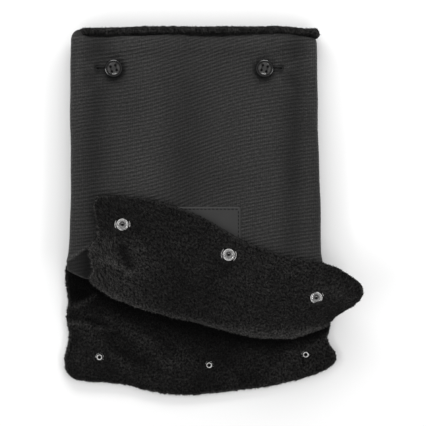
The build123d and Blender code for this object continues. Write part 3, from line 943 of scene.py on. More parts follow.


# Soft columns of painted light and painted shade across the woven face, standing in for the shading
# of its broad waves: place across, half width and how much lighter or darker
SHADING_COLUMNS = [
    (-127, 7, 0.3), (-106, 13, -0.5), (-80, 12, 0.02), (-53, 24, 0.2), (-12, 22, -0.3),
    (30, 16, 0.0), (62, 24, 0.14), (99, 12, -0.55), (114, 7, 0.06), (125, 5, -0.1),
]
SIDE_FOLD = [(-131, -51), (-121, -44.5), (-110, -37)]      # where the side edge folds under


def front_shade(plan):
    """Painted light and shade of the woven face: soft columns, the mouth, the buttons, the side fold and
    its edge.
    """
    x, y = plan[..., 0], plan[..., 1]
    shade = np.ones(x.shape)
    fade = 0.65 + 0.35 * smooth(y, -20, 40) - 0.3 * smooth(y, 120, 150)
    for centre, width, amount in SHADING_COLUMNS:
        shade += amount * fade * np.exp(-((x - centre - 0.03 * y) / width) ** 2)
    # Painted shade near the mouth's corners and painted highlights on the side edges below them
    shade -= 0.22 * bump_at(x, y, (-99, 169), 24, 10)
    shade -= 0.22 * bump_at(x, y, (101, 168), 24, 10)
    shade += 0.3 * bump_at(x, y, (-121, 158), 6, 26) + 0.3 * bump_at(x, y, (119, 158), 6, 26)
    # Painted shadow along the top edge, under the rolled rim
    shade -= 0.5 * (1 - smooth(MOUTH_Y - y, -1, 3.0))
    for side, way in OUTWARD.items():
        bx, by = BUTTONS[side][:2]
        # Painted shade in the buttonhole's far end, a painted highlight beyond it, and painted shadow
        # beside the button and round its foot, darkest on its lower inner side
        shade -= 1.5 * bump_at(x, y, (bx + way * (HOLE_REACH - 1), by), 3.0, 5.2)
        shade += 0.35 * bump_at(x, y, (bx + way * (HOLE_REACH + 5), by + 1), 5.0, 6.0)
        shade -= 0.3 * bump_at(x, y, (bx - way * 5, by - 5), 12)
        away = np.hypot(x - bx, y - by)
        facing = ((by - y) - way * (x - bx)) / np.maximum(away, 1.0) / math.sqrt(2)
        shade -= (0.45 + 0.5 * facing) * np.exp(-((away - 10) / 2.0) ** 2)
        shade += ridges(x, y, BUTTON_STREAK_SHADING, (bx, by), way)
    # Painted shade in the hollow under the side fold, and painted highlights along its crease and along the
    # bottom edge at the left
    fold_depth = SIDE_FOLD[0][1] + (x - SIDE_FOLD[0][0]) * 0.66 - y
    shade -= 0.68 * smooth(fold_depth, 0, 3) * (1 - smooth(x, -112, -104))
    shade += ridge(x, y, SIDE_FOLD, 1.3, 1.0)
    shade += 1.1 * np.exp(-(edge_distance(plan, "B") / 1.3) ** 2) * (1 - smooth(x, -112, -104))
    return np.clip(shade, 0.06, 2.2)


# ---- The folded flap ----

FLAP_LEFT = spline([
    (-113, 13), (-110.5, 17), (-113.5, 25), (-118.5, 38), (-112.2, 54.5), (-115.6, 67), (-121.6, 86),
    (-118.0, 93.5),
])
FLAP_TOP_EDGE = spline([
    (-118.0, 93.5), (-106, 96.5), (-86, 99), (-65, 99.5), (-44, 98), (-22, 94.5), (0, 88), (28, 77),
    (55, 70.5), (87, 66.2), (121, 66.8), (138, 63.5), (154, 57),
])
FLAP_RIGHT = spline([(141, 12.5), (152, 22), (163.5, 34), (167, 43), (163, 51.5), (154, 57)])
ROLL_ROWS = 34


def flap_height(x, y):
    """The height of the flap's woven underside over the table."""
    _, across = to_fold(x, y)
    body_edge = SLIT_RIGHT_X - 2
    hang = smooth(x, body_edge, body_edge + 45) * smooth(across, 8, 40)
    height = FLAP_BOTTOM - 0.3 - 3.0 * hang
    left_hang = smooth(-x, 128, 145)
    return height - 2.0 * left_hang


FLAP_RIDGES = [
    ([(-97, -53), (-87, -54), (-73, -60), (-67, -66)], 5.0, 1.9), ([(-57, -43), (-58, -64)], 8.0, 1.6),
    ([(-74, -40), (-70, -58)], 4.0, -3.4), ([(140, -82), (157, -94)], 6.0, 1.5),
    ([(118, -100), (140, -108)], 6.0, -1.4), ([(-20, -100), (60, -118), (100, -122)], 9.0, 1.0),
]


def flap_relief(x, y):
    """How far the stuffing lifts the flap's pile face."""
    lumps = 1.5 * lattice_noise(x, y, 34, 41) + 1.0 * lattice_noise(x, y, 15, 42)
    return lumps + ridges(x, y, FLAP_RIDGES)


def snap_seat(x, y, place, hole, rise_z, sink_z, height, collar=False):
    """Lets a snap through the pile: inside its hole the surface drops under the snap.

    A collar is pile that stands to the height rise_z all round the hole.
    """
    u, v = turned(x - place[0] - hole[0], y - place[1] - hole[1], hole[4])
    beyond = (np.hypot(u / hole[2], v / hole[3]) - 1) * (hole[2] + hole[3]) / 2
    near = 1 - smooth(beyond, 0.5, 7.0)
    height = mix(height, rise_z if collar else np.minimum(height, rise_z), near)
    return mix(height, sink_z, 1 - smooth(beyond, -0.9, 0.5))


# Each hole in the pile: its centre's offset from the snap, its half sizes and its turn
SOCKET_HOLES = {
    "left": (-0.3, 0.3, 9.3, 5.7, 0), "middle": (0.1, 0.0, 9.4, 6.7, -12),
    "right": (0.2, 0.6, 7.9, 5.0, 20),
}
STUD_HOLES = {side: (0.0, 0.1, 4.5, 4.3, 0) for side in SIDES}
CAP_TOP = 33.4                   # where the flap's woven side closes over a cap
POST_HEAD_LEVEL = 1.7            # and the back flap's over the head of a post
CAP_RADIUS = 8.0
STUD_FLANGE_TOP = STUD_SEAT + 1.0
FLAP_START, FLAP_END = -113.0, 141.0       # the flap's ends, along the fold, over the roll


def over_snap(x, y, place):
    """1 over a cap or a post's head, 0 a little outside it."""
    ring = np.hypot(x - place[0], y - place[1])
    return 1 - smooth(ring, CAP_RADIUS + 0.2, CAP_RADIUS + 1.6)


def tufts(where, seed):
    """Small lumps along an edge, in millimetres."""
    coarse = lattice_noise(where, 0 * where, 3.4, seed)
    return 0.55 * coarse + 0.35 * lattice_noise(where, 0 * where, 1.6, seed + 1)


def rough_outline(plan, seed, rows):
    """The tufted outline of plush: small lumps along the two sides and the far edge of a grid."""
    x, y = plan[..., 0], plan[..., 1]
    sides = 1 - smooth(edge_distance(plan, "LR"), 0, 5)
    far = 1 - smooth(edge_distance(plan, "T"), 0, 5)
    started = smooth(rows, 0, 0.1)[:, None]
    return np.stack([x + started * sides * tufts(y, seed), y + far * tufts(x, seed + 2)], axis=-1)


def flap_grid():
    columns = np.concatenate([
        np.linspace(0, 0.02, 6, endpoint=False), np.linspace(0.02, 0.98, 232, endpoint=False),
        np.linspace(0.98, 1, 7),
    ])
    along_start = mix(FOLD_START, FOLD_END, columns)
    along_end = mix(FLAP_START, FLAP_END, columns)
    centre = roll_centre(along_start)
    turns = np.linspace(-math.pi / 2, math.pi / 2, ROLL_ROWS)
    outer_rows, inner_rows = [], []
    for turn in turns:
        share = smooth(turn, -0.4, math.pi / 2)
        along = mix(along_start, along_end, share)
        for face_radius, rows in ((roll_inside, outer_rows), (roll_radius, inner_rows)):
            radius = face_radius(along_start)
            level = ROLL_Z + radius * math.sin(turn)
            x, y = from_fold(along, centre - radius * math.cos(turn))
            rows.append(np.stack([x, y, level], axis=-1))
    start = np.stack([along_end, centre], axis=-1)
    def bottom(share):
        return np.stack([np.interp(share, columns, start[:, axis]) for axis in (0, 1)], axis=-1)

    left = spline([start[0], *FLAP_LEFT(np.linspace(0.04, 1, 30))])
    right = spline([start[-1], *FLAP_RIGHT(np.linspace(0.06, 1, 30))])
    rows = np.concatenate([
        np.linspace(0, 0.93, 84, endpoint=False), np.linspace(0.93, 1, 12)
    ])[1:]
    flat = coons(bottom, right, FLAP_TOP_EDGE, left, columns, rows)
    flat = rough_outline(flat, 81, rows)
    x, y = from_fold(flat[..., 0], flat[..., 1])
    roll_top = ROLL_Z + roll_inside(along_start)
    settle = smooth(rows, 0, 0.35)[:, None]
    woven = mix(roll_top[None, :], flap_height(x, y), settle)
    under = mix(ROLL_Z + roll_radius(along_start)[None, :], flap_height(x, y) + STACK, settle)
    outer = np.concatenate([outer_rows, np.stack([x, y, woven], axis=-1)])
    inner = np.concatenate([inner_rows, np.stack([x, y, under], axis=-1)])
    return outer, inner


FLAP_FIBRES, FLAP_EDGE_FIBRES = 17000, 3600
BACK_FIBRES, BACK_EDGE_FIBRES = 20000, 3600


def build_flap():
    outer, inner = flap_grid()
    plan = inner[..., :2]
    folded_length = np.concatenate([
        np.zeros((1, plan.shape[1])),
        np.cumsum(np.linalg.norm(np.diff(inner, axis=0), axis=2), axis=0),
    ])
    on_top = np.zeros(plan.shape[:2])
    on_top[ROLL_ROWS:] = 1
    sides = edge_distance(plan, "LR")
    far_edge = np.full(plan.shape[:2], 1e3)
    far_edge[ROLL_ROWS:] = edge_distance(plan[ROLL_ROWS:], "T")
    edge = np.minimum(sides, far_edge)
    x, y = plan[..., 0], plan[..., 1]
    relief = flap_relief(x, y) * smooth(edge, 0, 12)
    direction = unit(inner - outer)
    inner = inner + direction * relief[..., None]
    outer, inner = pillow(outer, inner, edge, 0.3)
    rough = pile(x, folded_length) * smooth(edge, 0, 3)
    inner = inner + direction * rough[..., None]
    for side in SIDES:
        raised = snap_seat(
            x, y, SOCKETS[side], SOCKET_HOLES[side], SOCKET_TOP + 0.9 + 0.35 * rough,
            SOCKET_SEAT - 0.2, inner[..., 2], True,
        )
        inner[..., 2] = np.where(on_top > 0, raised, inner[..., 2])
        outer[..., 2] = mix(outer[..., 2], CAP_TOP, over_snap(x, y, SOCKETS[side]) * on_top)
    turn = np.full(plan.shape[:2], math.pi / 2)
    turn[:ROLL_ROWS] = np.linspace(-math.pi / 2, math.pi / 2, ROLL_ROWS)[:, None]
    shade = flap_shade(x, y, edge, turn)
    flat = np.stack([x, folded_length], axis=-1)
    lining = slab("flap_lining", outer, inner, LINING, flat, shade, False)
    cloth_outer, cloth_inner, cloth_flat = thin(2, outer, inner, flat)
    cloth = slab("flap_cloth", cloth_outer, cloth_inner, CLOTH, cloth_flat, None, False)
    wadding = slab("flap_wadding", cloth_outer, cloth_inner, WADDING, cloth_flat, None, False)
    holes = [(SOCKETS[side], SOCKET_HOLES[side]) for side in SIDES]
    fibres = pile_fibres(
        "flap_fibres", inner, outer, shade, flat, FLAP_FIBRES, FLAP_EDGE_FIBRES, 101, holes, ROLL_ROWS // 2
    )
    for piece, node in ((cloth, "shell"), (wadding, "padding"), (lining, "fleece"), (fibres, "fleece")):
        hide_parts(f"front_flap_{node}")
        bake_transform(piece)


FACING_RISE, FACING_DROP, FACING_THICKNESS = 1.0, 3.2, 0.8


def build_fold_facing():
    """The strip of woven cloth inside the fold, which covers the gathers when the flap is shut."""
    along = np.linspace(FOLD_START + 12, FOLD_END - 12, 120)
    half = np.maximum(-FOLD_EDGE(along) - 3.0, 1.0)
    share = np.linspace(1, -1, 24)[:, None]
    x, y = from_fold(along[None, :], share * half[None, :])
    crown = FOLD_ORIGIN[2] + FACING_RISE - FACING_DROP * share ** 2 + 0 * x
    outer = np.stack([x, y, crown], axis=-1)
    inner = outer - [0, 0, FACING_THICKNESS]
    facing = slab("fold_facing", outer, inner, FACING, rib_place(outer[..., :2]), None, False)
    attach(facing, "root")


# Painted highlights along the flap's ridges and painted shade in its creases: points, half width and height
FLAP_SHADING = [
    ([(-97, -53), (-87, -54), (-73, -60), (-67, -66)], 3.0, 1.9), ([(-57, -43), (-58, -64)], 8.0, 0.5),
    ([(-76, -40), (-70, -56)], 6.0, -1.3), ([(140, -82), (157, -94)], 5.0, 0.5),
    ([(-100, -8), (-55, -22)], 9.0, -0.2),
]


def flap_shade(x, y, edge, turn):
    """Tone of the flap's pile: lighter towards the lower left and mottled, with painted highlights on its
    ridges, its edges and the fold's lower edge, and painted shade in its creases.
    """
    shade = 1.0 + 1.4 * (1 - smooth(x, -105, -20)) * (1 - smooth(y, -40, -5))
    shade = shade + 0.22 * lattice_noise(x, y, 24, 71) + 0.15 * lattice_noise(x, y, 9, 72)
    shade = shade + ridges(x, y, FLAP_SHADING)
    # Painted highlight along the edges, strongest at the left
    shade = shade + (0.4 + 1.8 * smooth(-x, 85, 108)) * (1 - smooth(edge, 0.8, 3.0))
    # Painted highlight in a band along the fold's lower edge, wider at the right
    shade = shade + 3.2 * np.exp(-((turn - 0.35) / 0.5) ** 2)
    shade = shade + 1.8 * smooth(x, 10, 60) * np.exp(-((turn - 0.9) / 0.55) ** 2)
    return np.clip(shade, 0.2, 5.5)


# ---- The back panel and the back flap ----

BACK_LEFT = [
    (-134, -74), (-131.2, -93), (-133, -113), (-130.2, -129), (-133, -144), (-135, -155), (-133.5, -166),
    (-127, -173.5),
]
BACK_BOTTOM = [
    (-127, -173.5), (-117, -176.5), (-93, -178.0), (-73, -180.3), (-51, -186.0), (-31, -190.0),
    (-14, -190.8), (20, -189.0), (46, -186.0), (77, -181.8), (97, -177.3), (113, -173.0), (130, -167.3),
    (140.5, -160.8),
]
BACK_RIGHT = [
    (129.5, -54), (131, -75), (134.5, -97), (138.5, -113), (137.9, -124), (135.6, -132), (137.6, -139),
    (142.5, -146), (145.0, -153), (140.5, -160.8),
]


BACK_RIDGES = [
    ([(-85, -114), (-64, -125), (-46, -141), (-32, -154)], 9.0, 2.6),
    ([(-109, -130), (-90, -148), (-70, -163)], 8.0, 1.7), ([(-111, -114), (-92, -124)], 4.0, -1.6),
    ([(-130, -102), (-116, -97), (-104, -88)], 4.0, 3.0),
    ([(-131, -117), (-112, -119), (-89, -125)], 3.5, 1.8), ([(116, -144), (134, -132)], 5.0, 1.8),
    ([(-80, -146), (-58, -158)], 5.0, -1.2), ([(20, -150), (60, -156), (84, -150)], 9.0, 1.2),
]
# Painted highlights along the back flap's ridges and painted shade in its creases: points, half width and
# height
BACK_SHADING = [
    ([(-88, -112), (-64, -124), (-46, -141), (-32, -156)], 8.0, 0.9),
    ([(-109, -130), (-90, -148), (-70, -163)], 6.0, 0.45),
    ([(-128, -119), (-110, -122), (-96, -127)], 6.0, 0.55), ([(-20, -160), (0, -163)], 12.0, 0.35),
    ([(-111, -114), (-92, -124)], 4.0, -0.5), ([(-80, -146), (-58, -158)], 5.0, -0.35),
    ([(116, -144), (134, -132)], 4.0, 0.6),
]
# Painted highlights on the edges and painted shade in the bed of the two pleats at the left, added after
# the fold's painted shadow
PLEAT_SHADING = [
    ([(-131, -102), (-116, -97), (-104, -88)], 2.6, 1.2),
    ([(-131, -116.5), (-112, -119), (-89, -124.5)], 2.4, 1.0),
    ([(-131, -110), (-112, -112), (-92, -118)], 2.6, -0.45),
]


def back_relief(x, y):
    """How far the stuffing lifts the back flap's pile face."""
    lumps = 1.5 * lattice_noise(x, y, 34, 51) + 1.1 * lattice_noise(x, y, 14, 52)
    return lumps + ridges(x, y, BACK_RIDGES) - 3.0 * bump_at(x, y, (-118, -84), 16, 8, -20)


def back_shade(x, y, edge, free):
    """Tone of the back flap's pile: mottled, with painted highlights on its ridges, pleats and free
    edges, painted shadow under the fold and painted shade in its creases and in the hollow at the left.
    """
    shade = 0.95 + 0.38 * lattice_noise(x, y, 24, 73) + 0.22 * lattice_noise(x, y, 9, 74)
    shade = shade + ridges(x, y, BACK_SHADING)
    along, across = to_fold(x, y)
    under = FOLD_EDGE(np.clip(along, -118, 146)) - across
    # Painted shadow of the fold over the pile beneath it
    shade = shade * (0.12 + (0.88 + 0.6 * smooth(x, 20, 90)) * smooth(under, 2, 32 - 10 * smooth(x, 0, 60)))
    # Painted shade in the hollow at the left
    shade = shade - 0.9 * bump_at(x, y, (-119, -86), 20, 11, 20)
    shade = shade + ridges(x, y, PLEAT_SHADING)
    # Painted highlight along the free edges
    shade = shade + 1.3 * (1 - smooth(edge, 0.6, 2.8)) * free
    return np.clip(shade, 0.08, 3.0)


def back_grid():
    tube_rows = np.linspace(PANEL_TOP_Y, SLIT_Y + 6, 42)
    flap_share = np.concatenate([np.linspace(0, 0.94, 112, endpoint=False), np.linspace(0.94, 1, 12)])
    columns, angle = arc_columns(196)
    left_tube = side_curve(MOUTH_LEFT_X, SLIT_LEFT_X, (SLIT_LEFT_X, SLIT_Y), 0.0)
    right_tube = side_curve(MOUTH_RIGHT_X, SLIT_RIGHT_X, (SLIT_RIGHT_X, SLIT_Y), 1.3)
    share = (PANEL_TOP_Y - tube_rows) / (PANEL_TOP_Y - SLIT_Y)
    left_points, right_points = left_tube(1 - share), right_tube(1 - share)
    tube = mix(left_points[:, None], right_points[:, None], columns[None, :, None])
    start_left, start_right = left_points[-1], right_points[-1]
    left = spline([tuple(start_left), *BACK_LEFT])
    right = spline([tuple(start_right), *BACK_RIGHT])
    top = spline([tuple(start_left), tuple((start_left + start_right) / 2), tuple(start_right)])
    flap = coons(top, right, spline(BACK_BOTTOM), left, columns, flap_share[1:])
    flap = rough_outline(flap, 91, flap_share[1:])
    plan = np.concatenate([tube, flap])
    return plan, angle


def build_back():
    plan, angle = back_grid()
    x, y = plan[..., 0], plan[..., 1]
    in_tube = smooth(y, SLIT_Y - 8, SLIT_Y + 6)
    rise = (SEAM_Z * in_tube) * (1 - np.abs(np.sin(angle)))[None, :]
    outer = np.stack([x, y, rise], axis=-1)
    straight = np.full(len(angle), math.pi / 2)[None, :]
    turning = mix(straight, angle[None, :], in_tube)
    inner = set_off(outer, STACK, turning, -1)
    sides = edge_distance(plan, "LR")
    free = 1 - smooth(y, SLIT_Y - 10, SLIT_Y + 2)
    far_edge = edge_distance(plan, "T")
    edge = np.minimum(sides + 60 * (1 - free), far_edge)
    relief = back_relief(x, y) * smooth(edge, 0, 12) * free
    inner[..., 2] += relief
    outer, inner = pillow(outer, inner, edge, 0.5)
    rough = pile(x, y) * smooth(edge, 0, 3) * free
    inner[..., 2] += rough
    for side in SIDES:
        inner[..., 2] = snap_seat(
            x, y, STUDS[side], STUD_HOLES[side], STUD_FLANGE_TOP + 1.9 + 0.6 * rough,
            STUD_SEAT - 0.3, inner[..., 2],
        )
        outer[..., 2] = mix(outer[..., 2], POST_HEAD_LEVEL, over_snap(x, y, STUDS[side]))
    draw_in(outer, sides, in_tube)
    shade = back_shade(x, y, edge, free)
    lining = slab("back_lining", outer, inner, LINING, plan, shade, False)
    holes = [(STUDS[side], STUD_HOLES[side]) for side in SIDES]
    free_start = int(np.argmax(y[:, y.shape[1] // 2] < SLIT_Y - 2))
    fibres = pile_fibres(
        "back_fibres", inner, outer, shade, plan, BACK_FIBRES, BACK_EDGE_FIBRES, 102, holes, free_start
    )
    outer, inner, flat = thin(2, outer, inner, rib_place(plan))
    cloth = slab("back_cloth", outer, inner, CLOTH, flat, None, False)
    wadding = slab("back_wadding", outer, inner, WADDING, flat, None, False)
    for piece, tube_node, flap_node in (
        (cloth, "outer_shell", "shell"), (wadding, "padding", "padding"),
        (lining, "fleece_lining", "fleece"), (fibres, "fleece_lining", "fleece"),
    ):
        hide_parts(f"back_{tube_node}", f"back_flap_{flap_node}")
        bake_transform(piece)


# ---- The sewn side seams ----

SEAM_THREAD_RADIUS = 0.75


def build_side_seam(side, mouth_x, slit_x, phase):
    """The whipped thread that closes one side of the tube, from the slit to the mouth."""
    curve = side_curve(mouth_x, slit_x, (slit_x, SLIT_Y), phase)
    count, around = 260, 8
    path = curve(np.linspace(0.03, 0.985, count))
    turns = np.linspace(0, 2 * math.pi, around, endpoint=False)
    inward = -math.copysign(2.2, mouth_x)
    verts, places = [], []
    for x, y in path:
        radius = SEAM_THREAD_RADIUS * (1 + 0.25 * math.sin(y * 2 * math.pi / 2.4))
        for turn in turns:
            verts.append((x + inward + radius * math.cos(turn), y, SEAM_Z + 1.5 * radius * math.sin(turn)))
            places.append((x, y))
    faces = tube_faces(count, around)
    piece = new_piece(f"side_seam_{side}", np.array(verts), faces, SEAM_THREAD, np.array(places))
    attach(piece, "root")
    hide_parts(f"side_seam_thread_{side}")


# ---- The rolled rim of the hand opening ----

RIM_RADIUS = 4.4
RIM_FIBRES = 5200


def build_rim():
    count, around = 420, 22
    centre_y = COLLAR_Y - RIM_RADIUS + 0.3
    left, right = MOUTH_LEFT_X + 7.0, MOUTH_RIGHT_X + 1.2
    half_height = SEAM_Z - 3.9
    angles = np.linspace(0, 2 * math.pi, around, endpoint=False)
    rings, places, shades, cores = [], [], [], []
    for run, spot, normal in stadium(left + SEAM_Z, right - SEAM_Z, half_height, count):
        radius = RIM_RADIUS + 0.35 * lattice_noise(run, 0, 17, 61)
        radius = radius + 1.3 * bump_at(spot[0], 0.0, (right - 4, 0), 9)
        radius = radius - 1.0 * smooth(left + 8 - spot[0], 0, 8)
        lump = pile(run + 0 * angles, angles * radius, 0.9)
        reach = radius + lump
        out = reach * np.cos(angles)
        up = reach * np.sin(angles) * 0.9
        lean = 0.5 * lattice_noise(run, 9, 45, 62) + 0.5
        lean = lean - 2.4 * smooth(spot[0], right - 36, right - 4) - 1.6 * smooth(-spot[0], 20, 118)
        lean = lean - 3.2 * smooth(left + 9 - spot[0], 0, 9)
        level = np.maximum(SEAM_Z + spot[1] + up * normal[1], 0.0)
        ring = np.stack([spot[0] + up * normal[0], centre_y + lean + out, level], axis=-1)
        rings.append(ring)
        places.append(np.stack([run + 0 * angles, angles * radius], axis=-1))
        cores.append([spot[0], centre_y + lean, SEAM_Z + spot[1]])
        # Random blotches, and painted shade on the side where the rim meets the panel
        blotch = 0.7 * lattice_noise(run + 0 * angles, angles * radius, 5, 63)
        lower = 1 - smooth(np.cos(angles), -0.9, -0.1)
        shades.append(1.35 + blotch - 1.2 * lower)
    rings, places, shades = np.array(rings), np.array(places), np.clip(np.array(shades), 0.05, 3)
    piece = swept("rolled_mouth_rim", rings, PLUSH, places, shades)
    build_rim_fibres(rings, places, shades, np.array(cores))
    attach(piece, "root")


def build_rim_fibres(rings, places, shades, cores):
    random = np.random.RandomState(103)
    row = random.randint(0, rings.shape[0], RIM_FIBRES)
    column = random.randint(0, rings.shape[1], RIM_FIBRES)
    root = rings[row, column] + random.uniform(-0.5, 0.5, (RIM_FIBRES, 1)) * [1, 0, 0]
    out = unit(root - cores[row])
    way = unit(out + random.normal(0, 0.5, (RIM_FIBRES, 3)))
    head = root + way * random.uniform(0.7, 1.7, RIM_FIBRES)[:, None]
    piece = fibre_mesh(
        "rim_fibres", root - 0.3 * out, head, FIBRE_RADIUS * random.uniform(0.7, 1.3, RIM_FIBRES),
        places[row, column], shades[row, column] * random.uniform(0.5, 1.8, RIM_FIBRES),
    )
    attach(piece, "root")


# ---- The label patch ----

PATCH_CORNER = 3.0
PATCH_LIFT = 0.9


def rounded_grid(low, high, corner, columns, rows):
    """A plan grid over a rectangle whose corners are rounded."""
    x = np.linspace(low[0], high[0], columns)
    y = np.linspace(low[1], high[1], rows)
    grid = np.stack(np.meshgrid(x, y), axis=-1)
    middle = (np.array(low[:2]) + high[:2]) / 2
    half = (np.array(high[:2]) - low[:2]) / 2
    offset = grid - middle
    beyond = np.maximum(np.abs(offset) - (half - corner), 0)
    reach = np.max(beyond, axis=-1)
    length = np.linalg.norm(beyond, axis=-1)
    scale = np.where(length > 0, reach / np.maximum(length, 1e-9), 1.0)
    rounded = np.sign(offset) * (np.minimum(np.abs(offset), half - corner) + beyond * scale[..., None])
    return middle + rounded


def build_patch():
    plan = rounded_grid(PATCH_LOW, PATCH_HIGH, PATCH_CORNER, 70, 40)
    x, y = plan[..., 0], plan[..., 1]
    base = front_height(x, y)
    top = np.stack([x, y, base + PATCH_LIFT], axis=-1)
    bottom = np.stack([x, y, base + 0.1], axis=-1)
    edge = edge_distance(plan, "LRTB")
    top[..., 2] -= 0.45 * (1 - smooth(edge, 0, 1.4))
    patch = slab("label_patch_leather", top, bottom, PATCH)
    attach(patch, "root")
    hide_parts("label_patch")
    build_patch_stitches()


STITCH_LENGTH = 2.7
STITCH_PITCH = 4.0
STITCH_MARGIN = 2.4


def build_patch_stitches():
    low, high = PATCH_LOW[:2] + STITCH_MARGIN, PATCH_HIGH[:2] - STITCH_MARGIN
    runs = [
        ((low[0], low[1]), (high[0], low[1])), ((high[0], low[1]), (high[0], high[1])),
        ((high[0], high[1]), (low[0], high[1])), ((low[0], high[1]), (low[0], low[1])),
    ]
    verts, faces = [], []
    for start, end in runs:
        start, end = np.array(start), np.array(end)
        length = np.linalg.norm(end - start)
        way = (end - start) / length
        for step in range(int(length / STITCH_PITCH)):
            middle = start + way * (STITCH_PITCH * (step + 0.5))
            add_stitch(verts, faces, middle, way)
    piece = new_piece("patch_stitches", np.array(verts), faces, THREAD)
    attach(piece, "root")
    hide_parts("patch_stitching")


def add_stitch(verts, faces, middle, way):
    """One stitch: a short plump thread with pinched ends."""
    level = float(front_height(middle[0], middle[1])) + PATCH_LIFT + 0.1
    side = np.array([-way[1], way[0]])
    stations = [(-0.5, 0.16), (-0.38, 0.4), (-0.12, 0.5), (0.12, 0.5), (0.38, 0.4), (0.5, 0.16)]
    around = 6
    first = len(verts)
    for place, radius in stations:
        for k in range(around):
            turn = 2 * math.pi * k / around
            spot = middle + way * place * STITCH_LENGTH + side * radius * math.cos(turn)
            verts.append((spot[0], spot[1], level + 0.6 * radius * math.sin(turn)))
    faces.extend(tube_faces(len(stations), around, first))


# ---- Buttonhole bindings ----

BINDING_OFFSET = 1.9
BINDING_RADIUS = 0.7


def build_binding(side, way):
    """The whipped edge of a buttonhole, a stadium of thread laid on the cloth."""
    bx, by = BUTTONS[side][:2]
    start = bx - way * 0.4
    end = bx + way * (HOLE_REACH - 1.4)
    turns = np.linspace(0, 2 * math.pi, 8, endpoint=False)
    rings = []
    for run, spot, normal in stadium(start, end, BINDING_OFFSET, 150):
        x, y = spot[0], by + spot[1]
        level = float(front_height(x, y)) + 0.2
        radius = BINDING_RADIUS * (1 + 0.22 * math.sin(run * 2 * math.pi / 1.1))
        rings.append(np.stack([
            x + radius * np.cos(turns) * normal[0],
            y + radius * np.cos(turns) * normal[1],
            level + radius * np.sin(turns),
        ], axis=-1))
    piece = swept(f"buttonhole_binding_{side}", rings, SEAM_THREAD)
    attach(piece, "root")
    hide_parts(f"buttonhole_stitching_{side}")


# ---------------------------------------------------------------------------
# The carried-over CAD pieces
# ---------------------------------------------------------------------------

def dress(node, material):
    for material_slot in frame["nodes"][node].material_slots:
        material_slot.material = material


# Tone of the metal at each radius: painted shade in the dark wells and the stud's hole, and painted
# highlights on the lip and, brightest, on the flange
SOCKET_SHADING = [
    (0, 0.5), (0.8, 0.5), (1.3, 0.06), (2.1, 0.06), (2.7, 0.3), (4.2, 0.3), (4.7, 0.75), (6.6, 0.7),
    (7.1, 0.6), (7.7, 1.0), (9, 1.0),
]
STUD_SHADING = [(0, 0.01), (1.6, 0.01), (1.95, 1.0), (4.5, 1.0)]
WELL_OFFSET = np.array([0.0, 0.8, 0.0])
POST_HEAD_TOP = 1.6


def dress_hardware():
    for side in SIDES:
        well = SOCKETS[side] + WELL_OFFSET
        socket_metal = snap_metal(f"socket_metal_{side}", 0.95, 0.16, SOCKETS[side], SOCKET_SHADING)
        stud_metal = snap_metal(f"stud_metal_{side}", 1.0, 0.06, STUDS[side], STUD_SHADING)
        cap = snap_metal(f"cap_metal_{side}", 0.9, 0.14, well, SOCKET_SHADING, CAP_TOP - 0.1)
        dress(f"snap_socket_{side}", socket_metal)
        dress(f"snap_stud_{side}", stud_metal)
        dress(f"snap_cap_{side}", cap)
        dress(f"snap_post_{side}", snap_metal(
            f"post_metal_{side}", 0.9, 0.14, STUDS[side], STUD_SHADING, POST_HEAD_TOP
        ))
        dress(f"snap_spring_{side}", SPRING_STEEL)
    for side in BUTTONS:
        dress(f"button_{side}", button_plastic(side))
        dress(f"button_thread_{side}", button_cord(side))


# ---------------------------------------------------------------------------
# Studio
# ---------------------------------------------------------------------------

VIEW_CENTRE = Vector((0.018, -0.0031, 0.03))
VIEW_WIDTH = 0.4388
CAMERA_HEIGHT = 6.0
SENSOR = 36.0


def build_camera():
    data = bpy.data.cameras.new("camera")
    data.sensor_width = SENSOR
    data.lens = SENSOR * (CAMERA_HEIGHT - VIEW_CENTRE.z) / VIEW_WIDTH
    camera = add_object("camera", data)
    camera.location = (VIEW_CENTRE.x, VIEW_CENTRE.y, CAMERA_HEIGHT)
    bpy.context.scene.camera = camera


TABLE_HALF_SIZE, TABLE_LEVEL = 4000.0, -0.2


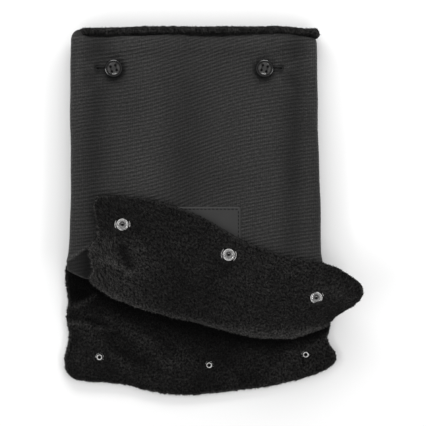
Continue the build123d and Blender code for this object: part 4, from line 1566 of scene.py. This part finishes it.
def build_floor():
    n = Nodes("white_table")
    cloudy = n.noise(n.add("TexCoord", "Object"), 6.0, 2.0)
    tone = n.ramp(cloudy, 0.985, 1.0)
    mesh = bpy.data.meshes.new("table")
    corners = [(-1, -1), (1, -1), (1, 1), (-1, 1)]
    verts = [(TABLE_HALF_SIZE * x * MM, TABLE_HALF_SIZE * y * MM, TABLE_LEVEL * MM) for x, y in corners]
    mesh.from_pydata(verts, [], [(0, 1, 2, 3)])
    mesh.materials.append(n.finish(
        Base_Color=n.grey(0.805, 0.0, tone), Roughness=0.9, Specular_IOR_Level=0.1,
    ))
    add_object("table", mesh)


def area_light(name, location, width, height, watts):
    data = bpy.data.lights.new(name, "AREA")
    data.shape = "RECTANGLE"
    data.size, data.size_y = width, height
    data.energy = watts
    light = add_object(name, data)
    light.location = location
    light.rotation_euler = (Vector((0.02, 0, 0)) - Vector(location)).to_track_quat("-Z", "Y").to_euler()


# The sky by the sine of its elevation: a bright band at mid height and a dim crown
SKY = [(0.0, 0.3), (0.3, 0.75), (0.55, 1.0), (0.75, 0.75), (0.87, 0.5), (0.94, 1.0), (1.0, 1.0)]
SKY_STRENGTH = 0.815


def build_light():
    world = bpy.data.worlds.new("studio")
    world.use_nodes = True
    nodes, links = world.node_tree.nodes, world.node_tree.links
    direction = nodes.new("ShaderNodeTexCoord")
    split = nodes.new("ShaderNodeSeparateXYZ")
    ramp = nodes.new("ShaderNodeValToRGB")
    links.new(direction.outputs["Generated"], split.inputs[0])
    links.new(split.outputs["Z"], ramp.inputs["Fac"])
    links.new(ramp.outputs["Color"], nodes["Background"].inputs["Color"])
    nodes["Background"].inputs["Strength"].default_value = SKY_STRENGTH
    set_stops(ramp.color_ramp, SKY)
    bpy.context.scene.world = world
    area_light("key_left", (-0.57, -0.23, 0.55), 0.8, 0.07, 2.0)
    area_light("key_right", (0.56, -0.23, 0.55), 0.8, 0.07, 2.0)
    area_light("key_top", (0.02, 0.85, 0.5), 1.0, 0.3, 8.5)
    bpy.context.scene.view_settings.view_transform = "Standard"


build_camera()
build_floor()
build_light()
build_back()
build_front()
build_flap()
build_fold_facing()
build_side_seam("left", MOUTH_LEFT_X, SLIT_LEFT_X, 0.0)
build_side_seam("right", MOUTH_RIGHT_X, SLIT_RIGHT_X, 1.3)
build_rim()
build_patch()
for button_side, outward in OUTWARD.items():
    build_binding(button_side, outward)
dress_hardware()

bpy.context.view_layer.update()
